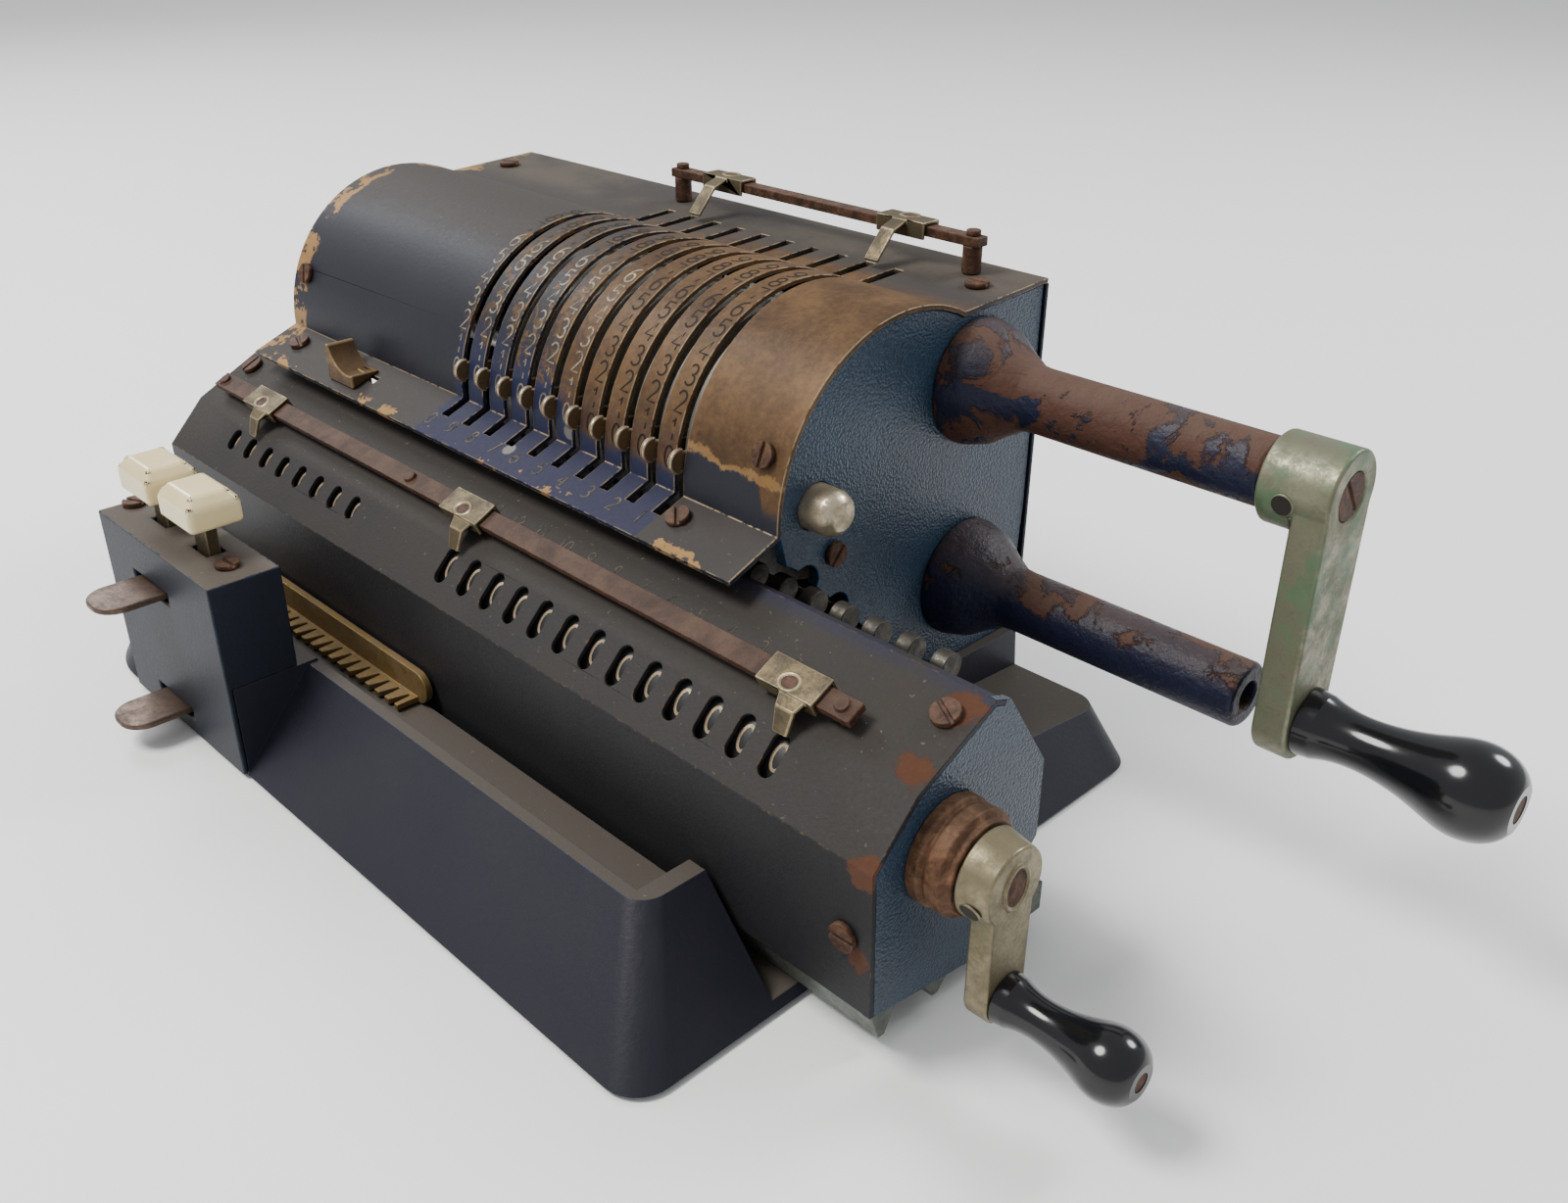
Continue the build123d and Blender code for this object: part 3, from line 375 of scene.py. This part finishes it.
# Plated brass and steel that has gone dull: nickel, olive brass and green corrosion in different amounts.
def tarnished(name, clean, dirty, crust=(0.09, 0.13, 0.075), crustShare=0.0, rough=0.34, size=0.006):
    f = Finish(name)
    spots = f.noise(size, 6.0, 0.68, warp=0.2)
    fine = f.noise(size / 8, 4.0, 0.7)
    tarnish = f.step(spots + fine * 0.3, 0.45, 0.85)
    colour = f.mix(tarnish, rgb(*clean), rgb(*dirty))
    metal = 0.9 - tarnish * 0.45
    if crustShare:
        crusty = f.step(f.noise(size * 1.6, 5.0, 0.65), 0.60 - crustShare, 0.78 - crustShare)
        colour = f.mix(crusty * 0.85, colour, rgb(*crust))
        metal = (metal - crusty * 0.5).clamp()
    return f.surface(0.35, 0.0001, fine, **{"Base Color": colour, "Metallic": metal,
                                            "Roughness": fine * 0.2 + tarnish * 0.22 + (rough - 0.1)})


# Smooth moulded or polished material with faint smears.
def glossy(name, dark, light, rough, coat=0.0):
    f = Finish(name)
    drift = f.noise(0.012, 3.0)
    smear = f.noise(0.004, 4.0, 0.7)
    colour = f.mix(drift, rgb(*dark), rgb(*light))
    return f.surface(0.08, 0.0001, smear, **{"Base Color": colour, "Roughness": smear * 0.14 + rough,
                                             "Coat Weight": coat, "Specular IOR Level": 0.35})


finishes = {
    "cover": enamel("worn cover enamel", coverLook, coverWear),
    "coverEdge": enamel("cover edge worn bright", dict(coverLook, bare=(0.28, 0.215, 0.135)), coverWear,
                        0.62),
    "shell": enamel("dusty carriage enamel", shellLook, shellWear),
    "shellEdge": enamel("carriage enamel edge", shellLook, shellWear, 0.3),
    "base": enamel("base enamel", baseLook),
    # Base edges: dusty enamel with patches of painted blue highlight.
    "baseEdge": enamel("base edge enamel, painted blue highlight", dict(baseLook, dustShare=0.3), None, 0.4),
    "housing": enamel("housing enamel", housingLook),
    "housingEdge": enamel("housing edge enamel, painted blue highlight", housingLook, None, 0.4),
    "crinkle": crinkle("crinkle enamel"),
    # Side plate edges: the blue "bare" tone is a painted highlight on the rounded edges.
    "plateEdge": enamel("plate edge painted blue highlight", dict(shellLook, bare=(0.022, 0.07, 0.15), dustShare=0.2),
                        None, 0.6),
    "sleeve": rustyTube("flaked sleeve enamel", 0.03, 0.02),
    "stub": rustyTube("flaked stub enamel", -0.20, 0.19),
    "rust": rust("brown rusted steel"),
    "railRust": rust("rusted rail", (0.024, 0.011, 0.007), (0.068, 0.031, 0.017), 0.12, 0.006),
    "bush": rust("rusty bush", (0.050, 0.025, 0.014), (0.150, 0.076, 0.040), 0.4, 0.004),
    "arm": tarnished("green tarnished arm", (0.215, 0.205, 0.145), (0.110, 0.115, 0.068),
                     (0.055, 0.105, 0.048), 0.14, 0.42),
    "clearArm": tarnished("olive tarnished arm", (0.235, 0.200, 0.125), (0.120, 0.100, 0.054),
                          (0.070, 0.080, 0.040), 0.08),
    "black": glossy("black handle", (0.003, 0.003, 0.004), (0.006, 0.006, 0.007), 0.10, 0.2),
    "ivory": glossy("ivory key", (0.56, 0.43, 0.20), (0.72, 0.62, 0.36), 0.12, 0.3),
    "dial": glossy("dark number wheel", (0.010, 0.010, 0.011), (0.02, 0.02, 0.021), 0.32),
    # A dark disc standing in for the hole in a pin: painted shade, not grime.
    "pinholeShade": glossy("painted pinhole shade", (0.006, 0.005, 0.004), (0.022, 0.014, 0.009), 0.6),
    "rubber": glossy("rubber pad", (0.012, 0.012, 0.012), (0.02, 0.02, 0.02), 0.7),
}
# Name, clean tone, dirty tone, size of the stains in metres, and roughness.
metals = {
    "nickel": ("worn nickel", (0.50, 0.44, 0.33), (0.22, 0.16, 0.09), 0.004, 0.3),
    "lever": ("brown lever face", (0.22, 0.145, 0.070), (0.095, 0.055, 0.028), 0.003, 0.36),
    "pointer": ("dull pointer plate", (0.125, 0.096, 0.050), (0.050, 0.037, 0.020), 0.005, 0.46),
    "pointerEdge": ("bright pointer edge", (0.30, 0.245, 0.145), (0.13, 0.10, 0.055), 0.005, 0.38),
    "brass": ("dusty brass", (0.24, 0.160, 0.062), (0.135, 0.092, 0.044), 0.004, 0.5),
    "runner": ("grey green steel", (0.15, 0.165, 0.145), (0.070, 0.080, 0.068), 0.008, 0.45),
    "steel": ("oiled steel", (0.50, 0.49, 0.46), (0.22, 0.20, 0.17), 0.006, 0.3),
    "disc": ("grimy grey disc", (0.085, 0.078, 0.064), (0.030, 0.026, 0.021), 0.003, 0.42),
    "tabs": ("brown finger tabs", (0.125, 0.085, 0.062), (0.050, 0.031, 0.022), 0.006, 0.36),
    "paleInk": ("pale worn figures", (0.30, 0.26, 0.19), (0.060, 0.052, 0.048), 0.003, 0.6),
    "darkInk": ("dark cut figures", (0.020, 0.013, 0.009), (0.007, 0.006, 0.005), 0.003, 0.6),
    "wheelInk": ("wheel figures", (0.46, 0.37, 0.24), (0.30, 0.22, 0.14), 0.003, 0.6),
    "thumb": ("brown thumb slide", (0.150, 0.090, 0.042), (0.062, 0.036, 0.019), 0.004, 0.42),
    "apronInk": ("dull apron figures", (0.115, 0.092, 0.062), (0.036, 0.029, 0.024), 0.003, 0.6),
    "slopeInk": ("faint slope figures", (0.080, 0.066, 0.050), (0.022, 0.019, 0.017), 0.004, 0.6),
}
for key, (name, clean, dirty, size, rough) in metals.items():
    finishes[key] = tarnished(name, clean, dirty, size=size, rough=rough)
print("finishes made:", len(finishes))

slotOf = {part["node"]: part["material_slot"] for part in frame["record"]["subparts"]}


def wear(piece, *keys):
    if piece.data.materials:
        piece.data.materials.clear()
    for key in keys:
        piece.data.materials.append(finishes[key])


def addPiece(name, mesh, body, slot, *keys):
    piece = bpy.data.objects.new(name, mesh)
    bpy.context.collection.objects.link(piece)
    wear(piece, *keys)
    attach(piece, body)
    return piece


refineLook = {"merge": 2e-6, "flatAngle": 0.8, "sharpAngle": 28}


# A finer copy of a CAD node: its facets are joined into whole faces, and its edges rounded and given an edge
# finish: rubbed paint, or on the base, housing and side plates a painted blue highlight.
def refine(node, width, face, edge, segments):
    shape = bmesh.new()
    shape.from_mesh(nodes[node].data)
    bmesh.ops.remove_doubles(shape, verts=shape.verts, dist=refineLook["merge"])
    bmesh.ops.dissolve_limit(shape, angle_limit=math.radians(refineLook["flatAngle"]), verts=shape.verts,
                             edges=shape.edges)
    for side in shape.faces:
        side.smooth = True
    mesh = bpy.data.meshes.new(node + "Fine")
    shape.to_mesh(mesh)
    shape.free()
    keys = [face, edge] if edge else [face]
    piece = addPiece(node + "Fine", mesh, nodes[node]["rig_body"], slotOf[node], *keys)
    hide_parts(node)
    rounding = piece.modifiers.new("rounding", "BEVEL")
    rounding.width = width * mm
    rounding.segments = segments
    rounding.limit_method = "ANGLE"
    rounding.angle_limit = math.radians(refineLook["sharpAngle"])
    rounding.use_clamp_overlap = node in clamped
    rounding.harden_normals = True
    rounding.material = 1 if edge else -1
    piece.modifiers.new("flat faces", "WEIGHTED_NORMAL").keep_sharp = True
    return piece


clamped = ("base_casting", "carriage_end_right", "carriage_end_left")    # short edges, which would spike

# Each node's rounding in millimetres, the finish of its faces and of its edges, and the rounding's segments.
refined = {
    "base_casting": (0.9, "base", "baseEdge", 3), "key_housing": (0.5, "housing", "housingEdge", 2),
    "rear_cover": (0.3, "housing", "housingEdge", 2), "drum_cover": (0.22, "cover", "coverEdge", 2),
    "carriage_shell": (0.22, "shell", "shellEdge", 2), "carriage_end_right": (0.4, "crinkle", "plateEdge", 2),
    "carriage_end_left": (0.4, "crinkle", "plateEdge", 2),
    "side_plate_right": (0.35, "crinkle", "plateEdge", 2),
    "side_plate_left": (0.35, "crinkle", "plateEdge", 2), "carriage_runner": (0.4, "runner", None, 2),
    "key_cap_left": (1.1, "ivory", None, 4), "key_cap_right": (1.1, "ivory", None, 4),
    "key_stem_left": (0.3, "pointer", "pointerEdge", 2), "key_stem_right": (0.3, "pointer", "pointerEdge", 2),
    "finger_tab_upper": (0.6, "tabs", None, 3), "finger_tab_lower": (0.6, "tabs", None, 3),
    "crank_arm": (0.8, "arm", None, 3), "clear_crank_arm": (0.6, "clearArm", None, 3),
    "rack_strip": (0.25, "brass", None, 2), "front_rail": (0.35, "railRust", "rust", 2),
    "rear_rail": (0.35, "rust", None, 2), "thumb_tab": (0.5, "thumb", "brass", 3),
    "front_pointer_left": (0.3, "pointer", "pointerEdge", 2),
    "front_pointer_middle": (0.3, "pointer", "pointerEdge", 2),
    "front_pointer_right": (0.3, "pointer", "pointerEdge", 2),
    "rear_pointer_left": (0.3, "pointer", "pointerEdge", 2),
    "rear_pointer_right": (0.3, "pointer", "pointerEdge", 2),
    "counter_clear_wing": (0.4, "clearArm", None, 2),
    "crank_sleeve": (0.5, "sleeve", None, 2), "rest_stub": (0.5, "stub", None, 2),
    "clear_bush": (0.3, "bush", None, 2), "clearing_knob": (0.4, "nickel", None, 2),
    "rear_rail_posts": (0.25, "rust", None, 2),
    "frame_screws": (0.18, "rust", None, 1), "carriage_screws": (0.18, "rust", None, 1),
    "crank_screws": (0.18, "rust", None, 1), "carry_levers": (0.3, "disc", None, 2),
}
for i in range(1, 11):
    refined[f"setting_lever_{i:02d}"] = (0.45, "lever", "nickel", 3)
for node, (width, face, edge, segments) in refined.items():
    refine(node, width, face, edge, segments)
print("refined pieces:", len(refined))

plain = {"base_feet": "rubber", "guide_rails": "steel", "tie_bars": "steel",
         "drum_shaft": "steel", "drum_gear": "brass",
         "pinwheels": "steel", "crank_shaft": "steel", "crank_gear": "brass", "crank_grip": "black",
         "result_dials": "dial", "counter_dials": "dial", "dial_shaft": "steel",
         "clear_crank_grip": "black"}
for node, key in plain.items():
    wear(nodes[node], key)


# Figures drawn with a single stroke, in a box 1 high: each is a list of lines of points.
def arc(across, up, wide, high, start, end, count=14):
    turns = [math.radians(start + (end - start) * i / count) for i in range(count + 1)]
    return [(across + wide * math.cos(t), up + high * math.sin(t)) for t in turns]


figures = {
    0: [arc(0, 0.5, 0.27, 0.5, 0, 360, 22)],
    1: [[(-0.14, 0.80), (0.03, 1.0), (0.03, 0.0)]],
    2: [arc(0, 0.72, 0.26, 0.28, 165, -35) + [(-0.27, 0.0), (0.28, 0.0)]],
    3: [arc(0, 0.75, 0.23, 0.25, 150, -90) + arc(0, 0.26, 0.27, 0.26, 90, -150)],
    4: [[(0.14, 0.0), (0.14, 1.0), (-0.28, 0.3), (0.30, 0.3)]],
    5: [[(0.24, 1.0), (-0.19, 1.0), (-0.22, 0.56)] + arc(-0.01, 0.32, 0.27, 0.32, 125, -150)],
    6: [arc(0, 0.30, 0.26, 0.30, 0, 360, 20), arc(0.24, 0.30, 0.50, 0.70, 90, 180, 8)],
    7: [[(-0.26, 1.0), (0.27, 1.0), (-0.06, 0.0)]],
    8: [arc(0, 0.75, 0.21, 0.25, 0, 360, 18), arc(0, 0.26, 0.27, 0.26, 0, 360, 20)],
    9: [arc(0, 0.70, 0.26, 0.30, 0, 360, 20), arc(-0.24, 0.70, 0.50, 0.70, 0, -90, 8)],
}


# Adds one figure to a mesh as thin flat strokes; place turns (across, up) in metres into a point in space.
def addFigure(shape, value, size, stroke, place):
    for line in figures[value]:
        closed = len(line) > 3 and math.dist(line[0], line[-1]) < 1e-6
        points = [(x * size, (y - 0.5) * size) for x, y in (line[:-1] if closed else line)]
        count = len(points)
        rows = []
        for i, (x, y) in enumerate(points):
            before = points[i - 1] if (closed or i) else points[i]
            after = points[(i + 1) % count] if (closed or i < count - 1) else points[i]
            dx, dy = after[0] - before[0], after[1] - before[1]
            long = math.hypot(dx, dy) or 1.0
            sx, sy = -dy / long * stroke / 2, dx / long * stroke / 2
            rows.append((shape.verts.new(place(x + sx, y + sy)), shape.verts.new(place(x - sx, y - sy))))
        for i in range(count if closed else count - 1):
            a, b = rows[i], rows[(i + 1) % count]
            shape.faces.new((a[0], a[1], b[1], b[0]))


def figureMesh(name, jobs):
    shape = bmesh.new()
    for value, size, stroke, place in jobs:
        addFigure(shape, value, size, stroke, place)
    bmesh.ops.recalc_face_normals(shape, faces=shape.faces)
    mesh = bpy.data.meshes.new(name)
    shape.to_mesh(mesh)
    shape.free()
    return mesh


bandLook = {"size": 5.0, "stroke": 0.52, "lift": 0.05, "restAngle": 170.0, "stepAngle": 9.0, "across": -0.40,
            "paleColumns": 6, "paleValues": 7}
drumRadius = 0.041


# A place on the cover's round part, at a distance along X and an angle from the front.
def onDrum(middle, degrees, lift):
    def place(across, up):
        angle = math.radians(degrees) - up / drumRadius
        reach = drumRadius + lift * mm
        return (middle + across, drumY + reach * math.cos(angle), drumZ + reach * math.sin(angle))
    return place


def bandFigures():
    pale, dark = [], []
    for column, slot in enumerate(leverMiddle):
        middle = slot + bandLook["across"] * pitch
        for value in range(10):
            job = (value, bandLook["size"] * mm, bandLook["stroke"] * mm,
                   onDrum(middle, bandLook["restAngle"] - bandLook["stepAngle"] * value, bandLook["lift"]))
            worn = column < bandLook["paleColumns"] and value < bandLook["paleValues"]
            (pale if worn else dark).append(job)
    addPiece("bandFiguresPale", figureMesh("bandFiguresPale", pale), "frame", "cover_enamel", "paleInk")
    addPiece("bandFiguresDark", figureMesh("bandFiguresDark", dark), "frame", "cover_enamel", "darkInk")


apronLook = {"size": 4.0, "stroke": 0.5, "y": -15.6, "across": -0.30, "lift": 0.07, "back": -8.0}


# The figures 10 to 1 on the apron, each at the foot of its slot.
def apronFigures():
    sides = nodes["drum_cover"].data.polygons
    flat = max((face for face in sides if face.normal.z > 0.8 and face.center.y < apronLook["back"] * mm),
               key=lambda face: face.area)
    fall = -flat.normal.y / flat.normal.z
    lean = math.hypot(1, fall)
    jobs = []
    for column, slot in enumerate(leverMiddle):
        middle = slot + apronLook["across"] * pitch

        def place(across, up, middle=middle):
            y = apronLook["y"] * mm + up / lean
            z = flat.center.z + (y - flat.center.y) * fall + apronLook["lift"] * mm
            return (middle + across, y, z)
        jobs.append(((10 - column) % 10, apronLook["size"] * mm, apronLook["stroke"] * mm, place))
    addPiece("apronFigures", figureMesh("apronFigures", jobs), "frame", "cover_enamel", "apronInk")


wheelLook = {"size": 5.6, "stroke": 0.75, "lift": 0.06, "facing": 140.3,
             "resultHalf": 3.4, "counterHalf": 3.0}


# The figures on the number wheels: nought faces each window, the rest follow round the wheel.
def wheelFigures(node, first, count, body):
    low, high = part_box(node)
    radius = (high.z - low.z) / 2 + wheelLook["lift"] * mm
    jobs = []
    for wheel in range(count):
        middle = first + wheel * pitch
        for value in range(10):
            facing = math.radians(wheelLook["facing"] + 36 * value)

            def place(across, up, middle=middle, facing=facing):
                angle = facing - up / radius
                return (middle + across, dialY + radius * math.cos(angle), dialZ + radius * math.sin(angle))
            jobs.append((value, wheelLook["size"] * mm, wheelLook["stroke"] * mm, place))
    addPiece(body + "Figures", figureMesh(body + "Figures", jobs), body, "dial_white", "wheelInk")


slopeLook = {"size": 3.4, "stroke": 0.4, "top": (-12.0, 71.3), "foot": (-33.9, 60.3), "behindRail": 2.6,
             "spacing": 2.3, "lift": 0.07}


# Faint place numbers on the carriage slope, one above each window of the result register.
def slopeFigures():
    (y0, z0), (y1, z1) = slopeLook["top"], slopeLook["foot"]
    fall = (z1 - z0) / (y1 - y0)
    lean = math.hypot(1, fall)
    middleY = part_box("front_rail")[1].y / mm + slopeLook["behindRail"]
    jobs = []
    for window in range(13):
        digits = [int(digit) for digit in str(13 - window)]
        for number, digit in enumerate(digits):
            middle = resultLow + window * pitch + (number - (len(digits) - 1) / 2) * slopeLook["spacing"] * mm

            def place(across, up, middle=middle):
                y = middleY + up / mm / lean
                return (middle + across, y * mm, (z0 + (y - y0) * fall + slopeLook["lift"]) * mm)
            jobs.append((digit, slopeLook["size"] * mm, slopeLook["stroke"] * mm, place))
    mesh = figureMesh("slopeFigures", jobs)
    addPiece("slopeFigures", mesh, "carriage", slotOf["carriage_shell"], "slopeInk")


bandFigures()
apronFigures()
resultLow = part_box("result_dials")[0].x + wheelLook["resultHalf"] * mm
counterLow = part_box("counter_dials")[0].x + wheelLook["counterHalf"] * mm
slopeFigures()
wheelFigures("result_dials", resultLow, 13, "result_dials")
wheelFigures("counter_dials", counterLow, 8, "counter_dials")
print("figures cut")


# A turned piece round an axis along X, from (distance along X, radius) pairs, with smooth sides.
def turnedMesh(name, profile, y, z, sides=48):
    shape = bmesh.new()
    rings = []
    for x, radius in profile:
        if radius < 1e-6:
            rings.append([shape.verts.new((x * mm, y, z))])
            continue
        turns = [2 * math.pi * i / sides for i in range(sides)]
        rings.append([shape.verts.new((x * mm, y + radius * mm * math.cos(turn),
                                       z + radius * mm * math.sin(turn))) for turn in turns])
    for inner, outer in zip(rings, rings[1:]):
        for i in range(sides):
            j = (i + 1) % sides
            corners = [inner[i % len(inner)], outer[i % len(outer)], outer[j % len(outer)],
                       inner[j % len(inner)]]
            unique = list(dict.fromkeys(corners))
            if len(unique) > 2:
                shape.faces.new(unique)
    bmesh.ops.recalc_face_normals(shape, faces=shape.faces)
    for side in shape.faces:
        side.smooth = True
    mesh = bpy.data.meshes.new(name)
    shape.to_mesh(mesh)
    shape.free()
    return mesh


gripEndLook = {"radius": 4.6, "depth": 0.45, "wide": 0.0204}    # radius is for a handle this wide


# The rusty riveted end of the pin that each handle turns on.
def gripEnd(grip, body):
    low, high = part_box(grip)
    y, z = (low.y + high.y) / 2, (low.z + high.z) / 2
    end = high.x / mm - gripEndLook["depth"]
    radius = gripEndLook["radius"] * (high.z - low.z) / gripEndLook["wide"]
    profile = [(end - 1.2, 0), (end - 1.2, radius), (end, radius), (end + 0.35, radius * 0.8),
               (end + 0.15, radius * 0.3), (end + 0.1, 0)]
    addPiece(grip + "End", turnedMesh(grip + "End", profile, y, z), body, "rusty_steel", "rust")


gripEnd("crank_grip", "crank_grip")
gripEnd("clear_crank_grip", "clear_crank_grip")


# A small round dish on a surface: (radius, lift) rings round a middle point,
# the inner ones in a second finish.
def addDish(name, middle, normal, across, rings, inner, node, keys, flat=1.0, sides=28):
    along = normal.cross(across).normalized()
    shape = bmesh.new()
    rows = []
    for radius, lift in rings:
        count = sides if radius else 1
        turns = [2 * math.pi * i / sides for i in range(count)]
        rows.append([shape.verts.new(middle + normal * lift * mm + (across * math.cos(t)
                                     + along * math.sin(t) * flat) * radius * mm) for t in turns])
    for number, (first, second) in enumerate(zip(rows, rows[1:])):
        for i in range(sides):
            j = (i + 1) % sides
            corners = [first[i], first[j], second[j % len(second)], second[i % len(second)]]
            corners = list(dict.fromkeys(corners))
            side = shape.faces.new(corners)
            side.smooth = True
            side.material_index = 1 if number >= inner else 0
    bmesh.ops.recalc_face_normals(shape, faces=shape.faces)
    mesh = bpy.data.meshes.new(name)
    shape.to_mesh(mesh)
    shape.free()
    addPiece(name, mesh, nodes[node]["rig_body"], slotOf[node], *keys)


dimpleLook = {"rings": [(3.05, 0.02), (2.8, 0.2), (2.5, 0.26), (2.15, 0.12), (2.0, 0.03), (0.0, 0.03)],
              "flat": 0.8}


# The round dimple in a pointer's clip: a raised ring round a rusty disc.
def pointerDimple(node):
    low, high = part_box(node)
    top = max(nodes[node].data.polygons, key=lambda face: face.area * max(0.0, face.normal.z))
    middle = Vector(((low.x + high.x) / 2, top.center.y, top.center.z))
    addDish(node + "Dimple", middle, top.normal.copy(), Vector((1, 0, 0)), dimpleLook["rings"], 4, node,
            ("pointerEdge", "rust"), dimpleLook["flat"])


for side in ("left", "middle", "right"):
    pointerDimple("front_pointer_" + side)
for side in ("left", "right"):
    pointerDimple("rear_pointer_" + side)

hubLook = {"pin": [(2.4, -0.1), (2.2, 0.3), (1.95, 0.28), (0.0, 0.22)], "pinX": 6.2, "radius": 9.8,
           "clearRadius": 8.9, "clearPin": 3.4, "gripPin": 29.0,
           "screw": [(5.4, 0.0), (5.1, 0.45), (4.6, 0.5), (4.2, 0.12), (3.4, 0.2), (0.0, 0.32)]}


# The cross pins through both crank hubs, and the rusty screw in the clearing crank's hub.
def hubDetails():
    low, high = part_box("crank_arm")
    front = Vector((0, -0.985, -0.174))
    middle = Vector((low.x + hubLook["pinX"] * mm, (low.y + high.y) / 2, high.z - hubLook["radius"] * mm))
    place = middle + front * hubLook["radius"] * mm
    # The pin's raised centre is painted dark: painted shade for its hole.
    addDish("crankHubPin", place, front, Vector((1, 0, 0)), hubLook["pin"], 1, "crank_arm", ("arm", "pinholeShade"))
    low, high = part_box("clear_crank_arm")
    middle = Vector((low.x + hubLook["clearPin"] * mm, dialY, dialZ))
    front = Vector((0, -0.940, -0.342))
    place = middle + front * hubLook["clearRadius"] * mm
    addDish("clearHubPin", place, front, Vector((1, 0, 0)), hubLook["pin"], 1, "clear_crank_arm",
            ("clearArm", "pinholeShade"), 0.8)
    face = Vector((high.x - hubLook["gripPin"] * mm, dialY, dialZ))
    addDish("clearHubScrew", face, Vector((1, 0, 0)), Vector((0, 0, 1)), hubLook["screw"], 3,
            "clear_crank_arm", ("clearArm", "rust"), 0.72)


hubDetails()
print("handles and pointers finished")


cameraLook = {"place": (0.28162, -0.20116, 0.21424), "right": (0.70378, 0.71039, 0.00629),
              "up": (-0.34011, 0.32914, 0.88091), "back": (0.62372, -0.62210, 0.47325),
              "lens": 33.05, "sensor": 36.0}


def addCamera():
    data = bpy.data.cameras.new("camera")
    data.lens = cameraLook["lens"]
    data.sensor_width = cameraLook["sensor"]
    data.clip_start = 0.01
    camera = bpy.data.objects.new("camera", data)
    bpy.context.collection.objects.link(camera)
    turned = Matrix([cameraLook["right"], cameraLook["up"], cameraLook["back"]]).transposed().to_4x4()
    camera.matrix_world = Matrix.Translation(cameraLook["place"]) @ turned
    bpy.context.scene.camera = camera


floorLook = {"half": 3.0, "colour": (0.84, 0.84, 0.83), "shade": (0.81, 0.81, 0.80), "rough": 0.6,
             "below": -0.0004}


def addFloor():
    mesh = bpy.data.meshes.new("floor")
    shape = bmesh.new()
    half = floorLook["half"]
    corners = [shape.verts.new((x, y, floorLook["below"])) for x, y in
               ((-half, -half), (half, -half), (half, half), (-half, half))]
    shape.faces.new(corners)
    shape.to_mesh(mesh)
    floor = bpy.data.objects.new("floor", mesh)
    bpy.context.collection.objects.link(floor)
    f = Finish("pale floor")
    colour = f.mix(f.noise(0.4, 2.0), rgb(*floorLook["shade"]), rgb(*floorLook["colour"]))
    mesh.materials.append(f.surface(**{"Base Color": colour, "Roughness": floorLook["rough"]}))


lightLook = {"world": (0.96, 0.97, 1.0), "worldPower": 0.72,
             "lamps": [("key light", (-0.45, -0.65, 1.25), 28.0, 0.6, (1.0, 0.985, 0.96)),
                       ("left light", (-1.2, 0.1, 0.9), 9.0, 0.5, (0.95, 0.97, 1.0)),
                       ("back light", (0.5, 1.1, 1.0), 14.0, 0.5, (0.97, 0.98, 1.0))],
             "aim": (0.03, 0.0, 0.06)}


def addLights():
    world = bpy.data.worlds.new("studio")
    bpy.context.scene.world = world
    world.use_nodes = True
    sky = world.node_tree.nodes["Background"]
    sky.inputs["Color"].default_value = (*lightLook["world"], 1)
    sky.inputs["Strength"].default_value = lightLook["worldPower"]
    for name, spot, power, size, colour in lightLook["lamps"]:
        data = bpy.data.lights.new(name, "AREA")
        data.shape = "DISK"
        data.size = size
        data.energy = power
        data.color = colour
        lamp = bpy.data.objects.new(name, data)
        bpy.context.collection.objects.link(lamp)
        lamp.location = spot
        lamp.rotation_euler = (Vector(lightLook["aim"]) - Vector(spot)).to_track_quat("-Z", "Y").to_euler()


addCamera()
addFloor()
addLights()
print("stage set")
